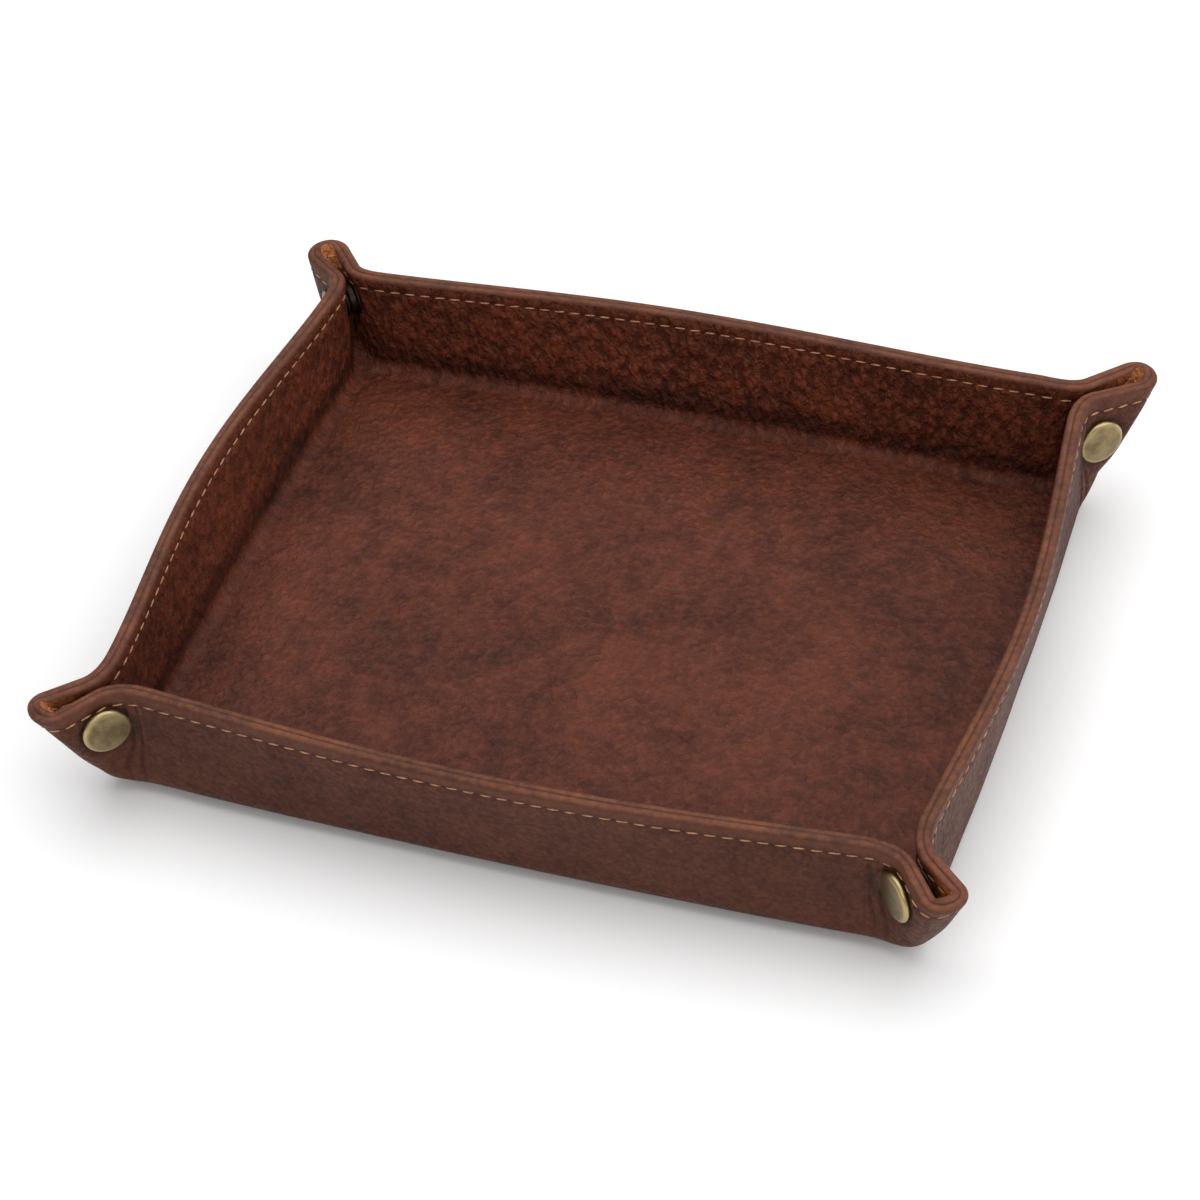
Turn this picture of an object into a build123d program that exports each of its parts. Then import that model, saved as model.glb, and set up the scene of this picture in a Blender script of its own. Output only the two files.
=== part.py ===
from build123d import *

import os
from math import atan2, cos, degrees, radians, sin, tan

# Size of the tray, measured tip to tip over the pinched corners
tray_length = 247.0
tray_width = 205.0
rim_height = 37.5
tip_droop = 2.5

# Leather: a smooth outer hide and a grained lining, stitched back to back
outer_thickness = 2.3
lining_thickness = 2.0
rim_round_share = 0.36

# Walls: bowed by their own spring between the pinched corners
long_wall_bow_rim = 6.3
short_wall_bow_rim = 6.6
long_wall_bow_foot = 2.6
short_wall_bow_foot = 2.1
wall_end_slope = 3.0
foot_radius = 8.4

# Pinched corners: each is a loop of leather closed by a press stud
ear_reach = 17.8
ear_half_thickness = 6.2
mouth_radius = 3.5
fold_rise = 56.0
fold_radius = 4.6
fold_foot_rise = 5.0

# Press stud, set back from the folded edge and down from the ear's tip
stud_edge = 9.86
stud_drop = 8.02
cap_radius = 6.8
cap_height = 2.5
cap_edge_height = 1.1
cap_press = 0.6
eyelet_radius = 4.6
eyelet_height = 1.3
eyelet_edge_height = 0.5
eyelet_press = 0.4
post_radius = 1.6
post_wall = 0.45
post_clearance = 0.1
post_roll_radius = 2.2
post_roll_height = 0.4
socket_radius = 5.2
socket_neck_radius = 4.2
socket_bore_radius = 2.7
socket_plate = 0.5
socket_reach = 0.7
stud_radius = 4.9
stud_plate = 0.8
stud_neck_radius = 1.95
stud_head_radius = 2.3
stud_head_reach = 0.35

# Places that follow from the sizes above
leather = outer_thickness + lining_thickness
diagonal_share = cos(radians(45))
corner_x = tray_length / 2 - ear_reach * diagonal_share
corner_y = tray_width / 2 - ear_reach * diagonal_share
mouth_turn = 45.0 + wall_end_slope
mouth_setback = mouth_radius * tan(radians(mouth_turn / 2))
wall_end_distance = ear_half_thickness / sin(radians(mouth_turn)) + mouth_setback
base_corner_radius = wall_end_distance * tan(radians(mouth_turn))
ear_start = mouth_setback - ear_half_thickness / tan(radians(mouth_turn))
tip_height = rim_height - tip_droop
rim_fall = tip_droop / (ear_reach - ear_start)
inner_depth = ear_half_thickness - leather
fold_x = cos(radians(fold_rise))
fold_z = sin(radians(fold_rise))
stud_height = tip_height - stud_drop
stud_reach = ear_reach - stud_drop * fold_x / fold_z - stud_edge / fold_z

# Corners in turn, counter-clockwise from above, with the sides they lie on
corner_sides = {
    "front_left": (-1, -1),
    "front_right": (1, -1),
    "back_right": (1, 1),
    "back_left": (-1, 1),
}
# The wall that ends at each corner and the wall that starts there
corner_walls = {
    "front_left": ("left", "front"),
    "front_right": ("front", "right"),
    "back_right": ("right", "back"),
    "back_left": ("back", "left"),
}
# The wall whose ear carries the cap and socket at each corner
cap_walls = {"front_left": "front", "front_right": "front", "back_right": "right", "back_left": "back"}
# Each wall with its turn about the tray's middle
wall_turns = {"front": 270, "right": 0, "back": 90, "left": 180}
foot_bows = {
    "front": long_wall_bow_foot,
    "right": short_wall_bow_foot,
    "back": long_wall_bow_foot,
    "left": short_wall_bow_foot,
}
rim_bows = {
    "front": long_wall_bow_rim,
    "right": short_wall_bow_rim,
    "back": long_wall_bow_rim,
    "left": short_wall_bow_rim,
}


def save(part, name):
    part.label = name
    export_step(part, f"parts/{name}.step")


def corner_location(corner):
    # x runs out along the diagonal, y towards the wall that starts here, z up
    side_x, side_y = corner_sides[corner]
    return Location((side_x * corner_x, side_y * corner_y, 0), (0, 0, degrees(atan2(side_y, side_x))))


def wall_place(wall):
    # distance to the wall's corner line, and half its length between corners
    return (corner_y, corner_x) if wall in ("front", "back") else (corner_x, corner_y)


def rotated(points, turn):
    return [Vector(*point).rotate(Axis.Z, turn) for point in points]


def side_points(wall, bow, depth):
    # three points of a wall's plan, a given depth in from its outer face
    reach, span = wall_place(wall)
    slope = radians(wall_end_slope)
    end_x = reach + wall_end_distance * sin(slope) - depth * cos(slope)
    end_y = span - wall_end_distance * cos(slope) - depth * sin(slope)
    return [(end_x, -end_y), (reach + bow - depth, 0), (end_x, end_y)]


def side_tangents():
    slope = radians(wall_end_slope)
    return [(sin(slope), cos(slope)), (-sin(slope), cos(slope))]


def wall_section(plane, wall, bow, outside, inside):
    near = side_points(wall, bow, inside)
    far = side_points(wall, bow, outside)
    with BuildSketch(plane) as section:
        with BuildLine():
            Spline(*far, tangents=side_tangents())
            Line(far[2], near[2])
            Spline(*near, tangents=side_tangents())
            Line(near[0], far[0])
        make_face()
    return section.sketch


def wall_layer(wall, outside, inside):
    # one layer of a wall, bowed more at its rim than at its foot
    with BuildPart() as flat:
        add(wall_section(Plane.XY.offset(foot_radius), wall, foot_bows[wall], outside, inside))
        add(wall_section(Plane.XY.offset(rim_height), wall, rim_bows[wall], outside, inside))
        loft(ruled=True)
        rim = flat.edges().group_by(Axis.Z)[-1].sort_by(SortBy.LENGTH)[-2:]
        fillet(rim, (inside - outside) * rim_round_share)
    with BuildPart() as layer:
        add(flat.part, rotation=(0, 0, wall_turns[wall]))
    return layer.part


def foot_points(wall, inset):
    return rotated(side_points(wall, foot_bows[wall], inset), wall_turns[wall])


def tray_outline(inset):
    # the foot's plan: four bowed sides joined by rounded corners
    pull = base_corner_radius / sin(radians(mouth_turn)) - base_corner_radius + inset
    with BuildSketch() as outline:
        with BuildLine():
            for wall, turn in wall_turns.items():
                Spline(*foot_points(wall, inset), tangents=rotated(side_tangents(), turn))
            for corner, (side_x, side_y) in corner_sides.items():
                ends, starts = corner_walls[corner]
                middle_x = side_x * (corner_x - pull * diagonal_share)
                middle_y = side_y * (corner_y - pull * diagonal_share)
                last = foot_points(ends, inset)[2]
                first = foot_points(starts, inset)[0]
                ThreePointArc(last, (middle_x, middle_y), first)
        make_face()
    return outline.sketch


def dish(inset):
    # the tray's foot as a solid block, its lower edge rolled up into the walls
    with BuildPart() as block:
        with BuildSketch(Plane.XY.offset(inset)):
            add(tray_outline(inset))
        extrude(amount=rim_height)
        fillet(block.faces().sort_by(Axis.Z)[0].edges(), foot_radius - inset)
        split(bisect_by=Plane.XY.offset(foot_radius), keep=Keep.BOTTOM)
    return block.part


def base_layer(outside, inside):
    # flat floor, inside the line where the leather starts to bend up
    with BuildPart() as floor:
        with BuildSketch(Plane.XY.offset(outside)):
            add(tray_outline(foot_radius))
        extrude(amount=inside - outside)
    return floor.part


def foot_layers(outside, inside):
    # ring of leather that bends up round the floor
    with BuildPart() as ring:
        add(dish(outside))
        add(dish(inside), mode=Mode.SUBTRACT)
        with BuildSketch():
            add(tray_outline(foot_radius))
        extrude(amount=foot_radius, mode=Mode.SUBTRACT)
    return ring.part


def foot_piece(ring, wall):
    # one wall's share of the ring, out to the diagonals of its two corners
    reach, span = wall_place(wall)
    ends = [
        (reach - ear_reach, -span + ear_reach),
        (reach + ear_reach, -span - ear_reach),
        (reach + ear_reach, span + ear_reach),
        (reach - ear_reach, span - ear_reach),
    ]
    with BuildPart() as piece:
        add(ring)
        with BuildSketch():
            with BuildLine():
                Polyline(rotated(ends, wall_turns[wall]), close=True)
            make_face()
        extrude(amount=foot_radius, mode=Mode.INTERSECT)
    return piece.part


def ear_prism(points, outside, inside):
    # a flat of the ear, drawn on the diagonal plane and given its depth across it
    with BuildPart() as prism:
        with BuildSketch(Plane.XZ.offset(inside - ear_half_thickness)):
            with BuildLine():
                Polyline(points, close=True)
            make_face()
        extrude(amount=outside - inside)
    return prism.part


def rim_at(reach):
    return rim_height - rim_fall * (reach - ear_start)


def press_hole(radius, depth):
    # a disc pressed into the leather round the stud's axis
    with BuildPart(mode=Mode.PRIVATE) as hole:
        with BuildSketch(Plane.XZ.offset(depth - ear_half_thickness)):
            with Locations((stud_reach, stud_height)):
                Circle(radius)
        extrude(amount=-2 * ear_half_thickness)
    return hole.part


def seat_hole(wall, corner):
    # the seat that the cap or the eyelet presses into an ear
    if cap_walls[corner] == wall:
        return press_hole(cap_radius + post_clearance, cap_press)
    return press_hole(eyelet_radius + post_clearance, eyelet_press)


def ear_layer(outside, inside, seat):
    # the flat of an ear, from the mouth of the corner to its folded edge
    top_x = ear_reach - fold_radius * fold_z
    top_z = tip_height + fold_radius * fold_x
    run = (top_z - rim_at(top_x)) / (fold_z + rim_fall * fold_x)
    crest = (top_x - run * fold_x, top_z - run * fold_z)
    low = (ear_start, top_z - (top_x - ear_start) * fold_z / fold_x)
    with BuildPart() as layer:
        add(ear_prism([low, (ear_start, rim_height), crest], outside, inside))
        rim = layer.faces().sort_by(Axis.Z)[-1].edges().filter_by(GeomType.LINE)
        fillet(rim.sort_by(SortBy.LENGTH)[-2:], (inside - outside) * rim_round_share)
        add(seat, mode=Mode.SUBTRACT)
        add(press_hole(post_radius + post_clearance, ear_half_thickness), mode=Mode.SUBTRACT)
    return layer.part


def fold_layer(outside, inside, seat):
    # half of the fold that closes the ear, running down to the tray's corner
    outer_arc = fold_radius - outside
    inner_arc = fold_radius - inside
    centre = ear_half_thickness - fold_radius
    outer_middle = (-fold_radius + outer_arc * diagonal_share, centre + outer_arc * diagonal_share)
    inner_middle = (-fold_radius + inner_arc * diagonal_share, centre + inner_arc * diagonal_share)
    origin = (ear_reach - tip_height * fold_x / fold_z, 0, 0)
    profile = Plane(origin=origin, x_dir=(fold_z, 0, -fold_x), z_dir=(fold_x, 0, fold_z))
    end = ear_reach + ear_half_thickness
    foot_top = foot_radius + fold_foot_rise
    foot_reach = ear_reach - (tip_height - foot_top) * fold_x / fold_z
    frame = [
        (ear_start, foot_radius),
        (ear_start, rim_height),
        (end, rim_at(end)),
        (end, foot_top),
        (foot_reach, foot_top),
    ]
    with BuildPart() as layer:
        with BuildSketch(profile):
            with BuildLine():
                Line((-outside, 0), (-outside, centre))
                ThreePointArc((-outside, centre), outer_middle, (-fold_radius, centre + outer_arc))
                Line((-fold_radius, centre + outer_arc), (-fold_radius, centre + inner_arc))
                ThreePointArc((-fold_radius, centre + inner_arc), inner_middle, (-inside, centre))
                Line((-inside, centre), (-inside, 0))
                Line((-inside, 0), (-outside, 0))
            make_face()
        extrude(amount=2 * tip_height)
        add(ear_prism(frame, 0, ear_half_thickness), mode=Mode.INTERSECT)
        add(seat, mode=Mode.SUBTRACT)
    return layer.part


def mouth_layer(outside, inside, seat):
    # the bend from a wall's end round into its ear
    turn = radians(mouth_turn)
    centre = (ear_start, ear_half_thickness + mouth_radius)
    outer, inner = [
        [(centre[0] - arc * sin(angle), centre[1] - arc * cos(angle)) for angle in (0, turn / 2, turn)]
        for arc in (mouth_radius + outside, mouth_radius + inside)
    ]
    with BuildPart() as layer:
        with BuildSketch(Plane.XY.offset(foot_radius)):
            with BuildLine():
                ThreePointArc(*outer)
                Line(outer[2], inner[2])
                ThreePointArc(*inner)
                Line(inner[0], outer[0])
            make_face()
        extrude(amount=rim_height - foot_radius)
        rim = layer.faces().sort_by(Axis.Z)[-1].edges().filter_by(GeomType.CIRCLE)
        fillet(rim, (inside - outside) * rim_round_share)
        add(seat, mode=Mode.SUBTRACT)
    return layer.part


def on_corner(half, wall, corner):
    # places one half of a corner: the wall that starts there, or mirrored, the wall that ends there
    with BuildPart() as placed:
        with Locations(corner_location(corner)):
            if wall == corner_walls[corner][1]:
                add(half)
            else:
                add(mirror(half, about=Plane.XZ, mode=Mode.PRIVATE))
    return placed.part


def turned(outline):
    # stud pieces turn about an axis across the ear; heights are measured out from the ear's middle
    with BuildPart() as piece:
        with BuildSketch(Plane(origin=(stud_reach, 0, stud_height), x_dir=(1, 0, 0), z_dir=(0, 0, 1))):
            with BuildLine():
                outline()
            make_face()
        revolve(axis=Axis((stud_reach, 0, stud_height), (0, 1, 0)))
    return piece.part


def cap_outline():
    seat = ear_half_thickness - cap_press
    bead = cap_edge_height / 2
    edge = cap_radius - bead
    roll = inner_depth - socket_plate
    bore = post_radius - post_wall
    Polyline(
        (0, seat + bead),
        (bore, seat + bead),
        (bore, roll - post_roll_height),
        (post_roll_radius, roll - post_roll_height),
        (post_roll_radius, roll),
        (post_radius, roll),
        (post_radius, seat),
        (edge, seat),
    )
    ThreePointArc((edge, seat), (cap_radius, seat + bead), (edge, seat + 2 * bead))
    TangentArc((0, seat + cap_height), (edge, seat + 2 * bead), tangent=(1, 0))
    Line((0, seat + cap_height), (0, seat + bead))


def eyelet_outline():
    seat = ear_half_thickness - eyelet_press
    bead = eyelet_edge_height / 2
    edge = eyelet_radius - bead
    bore = post_radius - post_wall
    Polyline(
        (0, seat + bead),
        (bore, seat + bead),
        (bore, inner_depth - stud_plate),
        (post_radius, inner_depth - stud_plate),
        (post_radius, seat),
        (edge, seat),
    )
    ThreePointArc((edge, seat), (eyelet_radius, seat + bead), (edge, seat + 2 * bead))
    TangentArc((0, seat + eyelet_height), (edge, seat + 2 * bead), tangent=(1, 0))
    Line((0, seat + eyelet_height), (0, seat + bead))


def socket_outline():
    hole = post_radius + post_clearance
    plate = inner_depth - socket_plate
    Polyline(
        (hole, inner_depth),
        (hole, plate),
        (socket_bore_radius, plate),
        (socket_bore_radius, -socket_reach),
        (socket_neck_radius - socket_plate, -socket_reach),
        (socket_neck_radius, socket_plate - socket_reach),
        (socket_neck_radius, plate - socket_plate / 2),
        (socket_radius, plate),
        (socket_radius, inner_depth),
        close=True,
    )


def stud_outline():
    hole = post_radius + post_clearance
    plate = inner_depth - stud_plate
    middle = (plate - stud_head_reach) / 2
    Polyline(
        (0, plate - post_wall),
        (0, -stud_head_reach),
        (stud_neck_radius, -stud_head_reach),
        (stud_head_radius, -middle / 2),
        (stud_neck_radius, plate - post_wall),
        (stud_neck_radius, plate),
        (stud_radius, plate),
        (stud_radius, inner_depth),
        (hole, inner_depth),
        (hole, plate - post_wall),
        close=True,
    )


os.makedirs("parts", exist_ok=True)

layers = {"outer": (0, outer_thickness), "lining": (outer_thickness, leather)}

for layer, (outside, inside) in layers.items():
    save(base_layer(outside, inside), f"base_{layer}")
    ring = foot_layers(outside, inside)
    for wall in wall_turns:
        save(wall_layer(wall, outside, inside), f"wall_{wall}_{layer}")
        with BuildPart() as bend:
            add(foot_piece(ring, wall))
            for corner, ends in corner_walls.items():
                if wall in ends:
                    add(on_corner(mouth_layer(outside, inside, seat_hole(wall, corner)), wall, corner))
        save(bend.part, f"bend_{wall}_{layer}")
    for corner, ends in corner_walls.items():
        for wall in ends:
            ear = ear_layer(outside, inside, seat_hole(wall, corner))
            save(on_corner(ear, wall, corner), f"ear_{corner}_{wall}_{layer}")

for corner, ends in corner_walls.items():
    for wall in ends:
        with BuildPart() as fold:
            for outside, inside in layers.values():
                add(on_corner(fold_layer(outside, inside, seat_hole(wall, corner)), wall, corner))
        save(fold.part, f"fold_{corner}_{wall}")
        if cap_walls[corner] == wall:
            save(on_corner(turned(cap_outline), wall, corner), f"snap_{corner}_cap")
            save(on_corner(turned(socket_outline), wall, corner), f"snap_{corner}_socket")
        else:
            save(on_corner(turned(eyelet_outline), wall, corner), f"snap_{corner}_eyelet")
            save(on_corner(turned(stud_outline), wall, corner), f"snap_{corner}_stud")
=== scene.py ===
"""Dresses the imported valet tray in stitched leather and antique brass, and lights it as a product photograph."""

import logging
import math
from dataclasses import dataclass, field
from enum import Enum

import bmesh
import bpy
import numpy as np
from mathutils import Matrix, Vector


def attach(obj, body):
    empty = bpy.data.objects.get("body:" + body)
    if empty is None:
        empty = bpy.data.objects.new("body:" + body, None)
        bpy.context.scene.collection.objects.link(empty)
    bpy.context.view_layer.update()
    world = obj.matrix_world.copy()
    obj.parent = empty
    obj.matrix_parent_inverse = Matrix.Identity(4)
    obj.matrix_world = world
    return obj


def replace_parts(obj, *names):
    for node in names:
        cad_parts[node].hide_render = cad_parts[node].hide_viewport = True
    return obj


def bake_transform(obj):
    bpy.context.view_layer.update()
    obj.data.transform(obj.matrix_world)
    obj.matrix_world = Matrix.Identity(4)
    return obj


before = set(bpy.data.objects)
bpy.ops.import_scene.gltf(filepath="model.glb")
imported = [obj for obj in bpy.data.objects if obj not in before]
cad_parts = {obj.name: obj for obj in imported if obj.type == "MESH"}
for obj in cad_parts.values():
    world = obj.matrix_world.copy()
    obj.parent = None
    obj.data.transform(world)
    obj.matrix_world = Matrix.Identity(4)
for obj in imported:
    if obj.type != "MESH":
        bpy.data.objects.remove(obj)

LOG = logging.getLogger("valet_tray")
MM = 0.001
UP = np.array([0.0, 0.0, 1.0])
DIAGONAL = np.array([1.0, 1.0]) / math.sqrt(2)
ACROSS = np.array([1.0, -1.0]) / math.sqrt(2)

Colour = tuple[float, float, float, float]
Outline = tuple[tuple[float, float], ...]


class Part(Enum):
    """The stretches of one half wall, from its middle out to the folded tip."""

    WALL = "wall"
    MOUTH = "mouth"
    EAR = "ear"
    FOLD = "fold"


@dataclass(frozen=True)
class TraySize:
    """Sizes of the tray in millimetres. Those that the solids have too are the same as there.

    Attributes:
        corner_x: Distance from the middle to the line where the walls would meet, along x.
        corner_y: The same along y.
        leather: Thickness of both hides together.
        ear_half: Half the thickness of a pinched corner.
        reach: Distance from the wall lines' meeting point to the folded tip.
        tip_height: Height of the tip's rim.
        rim_height: Height of the hides' edge at the middle of a wall, below the rounded rim.
        rim_rise: How much higher that edge is at a wall's ends.
        foot_radius: Radius of the bend between floor and wall.
        fold_foot: Height where the folded edge leaves the bend at the foot.
        fold_rise: Slope of the folded edge in degrees.
        fold_radius: Radius of the folded edge.
        slope: Slope of a wall's end in degrees.
        wall_run: Length of a wall from its foot's bend to the rim.
        stud_reach: Place of the press stud along the diagonal, in the solids.
        stud_height: Height of the press stud in the solids.
        stud_shift: How far the press stud is moved in and down from there, towards its place in the photo.
    """

    corner_x: float = 110.914
    corner_y: float = 89.914
    leather: float = 4.3
    ear_half: float = 6.2
    reach: float = 17.8
    tip_height: float = 35.0
    rim_height: float = 37.0
    rim_rise: float = 0.9
    foot_radius: float = 8.4
    fold_foot: float = 7.05
    fold_rise: float = 56.0
    fold_radius: float = 4.6
    slope: float = 3.0
    wall_run: float = 29.1
    stud_reach: float = 0.5
    stud_height: float = 26.98
    stud_shift: float = 1.2


@dataclass(frozen=True)
class CornerSize:
    """One corner's place and its small differences from the others.

    Attributes:
        side: Which side of the middle it is on, along x and y.
        cap_wall: The wall whose ear has the cap.
        fullness: How far the foot of the fold swells out, in millimetres.
        raised: How much higher its rim stands, in millimetres.
    """

    side: tuple[int, int]
    cap_wall: str
    fullness: float
    raised: float


@dataclass(frozen=True)
class WallSize:
    """One wall's place and bow in millimetres.

    Attributes:
        name: Name of the wall, as in its CAD body.
        out: Unit vector out of the tray.
        along: Unit vector along the wall, counter-clockwise from above.
        reach: Distance of the wall from the middle.
        span: Half the wall's length between corners.
        bow_foot: Bow of the wall at its foot.
        bow_rim: Bow of the wall at its rim.
        start: Name of the corner where the wall starts.
        end: Name of the corner where the wall ends.
        raised_middle: How much higher its rim stands in the middle.
        rise_power: How late its rim starts to rise to a raised corner.
    """

    name: str
    out: tuple[float, float]
    along: tuple[float, float]
    reach: float
    span: float
    bow_foot: float
    bow_rim: float
    start: str
    end: str
    raised_middle: float = 0.0
    rise_power: int = 4


@dataclass(frozen=True)
class BendSize:
    """Where the leather bends as the tray opens, in millimetres.

    Attributes:
        foot_outer: Distance out from the floor's edge and height together where the outer hide's foot bend ends.
        foot_lining: The same for the lining.
        mouth_start: Place along and across the corner's diagonal where a mouth starts to bend.
        mouth_end: Place where it ends.
        mouth_height: Height of both places.
        fold_before: Run before the fold's middle line where the fold starts to unroll.
        fold_after: Run behind that line where it ends.
    """

    foot_outer: float = 12.6
    foot_lining: float = 12.4
    mouth_start: tuple[float, float] = (-6.62, 7.36)
    mouth_end: tuple[float, float] = (-4.02, 6.2)
    mouth_height: float = 20.0
    fold_before: float = 1.1
    fold_after: float = 0.15


SIZE = TraySize()
BEND = BendSize()
CORNERS = {
    "front_left": CornerSize((-1, -1), "front", 2.3, 0.0),
    "front_right": CornerSize((1, -1), "front", 2.6, 0.0),
    "back_right": CornerSize((1, 1), "right", 0.4, 4.0),
    "back_left": CornerSize((-1, 1), "back", 1.2, 0.0),
}
WALLS = (
    WallSize("front", (0, -1), (1, 0), SIZE.corner_y, SIZE.corner_x, 2.6, 6.3, "front_left", "front_right"),
    WallSize("right", (1, 0), (0, 1), SIZE.corner_x, SIZE.corner_y, 2.1, 6.6, "front_right", "back_right"),
    WallSize("back", (0, 1), (-1, 0), SIZE.corner_y, SIZE.corner_x, 2.6, 6.3, "back_right", "back_left", 1.6, 2),
    WallSize("left", (-1, 0), (0, -1), SIZE.corner_x, SIZE.corner_y, 2.1, 7.8, "back_left", "front_left"),
)


def smooth(low: float, high: float, value: np.ndarray | float) -> np.ndarray:
    """Rises smoothly from 0 at low to 1 at high.

    Args:
        low: Where the rise starts.
        high: Where the rise ends.
        value: The values to map.

    Returns:
        The mapped values.
    """
    share = np.clip((value - low) / (high - low), 0, 1)
    return share * share * (3 - 2 * share)


def bezier(points: list[np.ndarray], share: np.ndarray) -> np.ndarray:
    """Points along a cubic curve, spread evenly by length.

    Args:
        points: The four control points, each with two coordinates.
        share: Shares of the curve's length, from 0 to 1.

    Returns:
        One row of coordinates per share.
    """
    t = np.linspace(0, 1, 200)[:, None]
    p0, p1, p2, p3 = points
    curve = (1 - t) ** 3 * p0 + 3 * t * (1 - t) ** 2 * p1 + 3 * t * t * (1 - t) * p2 + t**3 * p3
    run = np.concatenate([[0], np.cumsum(np.linalg.norm(np.diff(curve, axis=0), axis=1))])
    at = share * run[-1]
    return np.column_stack([np.interp(at, run, curve[:, 0]), np.interp(at, run, curve[:, 1])])


def unit(vectors: np.ndarray) -> np.ndarray:
    """The same vectors with a length of 1."""
    return vectors / np.maximum(np.linalg.norm(vectors, axis=-1, keepdims=True), 1e-9)


def wall_axes(wall: WallSize, corner: str) -> tuple[np.ndarray, np.ndarray, np.ndarray]:
    """A wall's axes at one of its corners.

    Args:
        wall: The wall.
        corner: Name of the corner.

    Returns:
        Where the two walls' lines meet, the way out of the tray, and the way along the wall to the corner.
    """
    side_x, side_y = CORNERS[corner].side
    origin = np.array([side_x * SIZE.corner_x, side_y * SIZE.corner_y, 0.0])
    sign = 1 if corner == wall.end else -1
    return origin, np.array([*wall.out, 0.0]), np.array([*wall.along, 0.0]) * sign


def corner_axes(wall: WallSize, corner: str) -> tuple[np.ndarray, np.ndarray, np.ndarray]:
    """A pinched corner's own axes.

    Args:
        wall: The wall on the side that is looked at.
        corner: Name of the corner.

    Returns:
        The corner's place, the way out along its diagonal, and the way across it towards the wall.
    """
    origin, out, along = wall_axes(wall, corner)
    return origin, (out + along) / math.sqrt(2), (out - along) / math.sqrt(2)


def stud_centre(wall: WallSize, corner: str) -> np.ndarray:
    """The middle of a corner's press stud.

    Args:
        wall: The wall on the side that is looked at.
        corner: Name of the corner.

    Returns:
        Its place in millimetres.
    """
    origin, diagonal, _ = corner_axes(wall, corner)
    return origin + diagonal * (SIZE.stud_reach - SIZE.stud_shift) + UP * (SIZE.stud_height - SIZE.stud_shift)


@dataclass(frozen=True)
class Mesh:
    """How finely the leather is divided.

    Attributes:
        wall: Steps along half a wall.
        mouth: Steps round the bend into a corner.
        ear: Steps along the flat of an ear.
        fold: Steps round half of the fold.
        foot: Steps up the bend at the foot.
    """

    wall: int = 72
    mouth: int = 24
    ear: int = 14
    fold: int = 14
    foot: int = 12

    def cells(self) -> int:
        """Steps of one half wall and half corner together."""
        return self.wall + self.mouth + self.ear + self.fold

    def reach_of(self, part: Part) -> tuple[int, int]:
        """First and last step of a part of the half wall.

        Args:
            part: The part.

        Returns:
            The two steps.
        """
        edges = np.cumsum([0, self.wall, self.mouth, self.ear, self.fold])
        place = list(Part).index(part)
        return int(edges[place]), int(edges[place + 1])

    def from_middle(self, columns: np.ndarray) -> np.ndarray:
        """Steps between each column of the ring and the middle of its wall."""
        return np.abs(columns % (2 * self.cells()) - self.cells())


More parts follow.
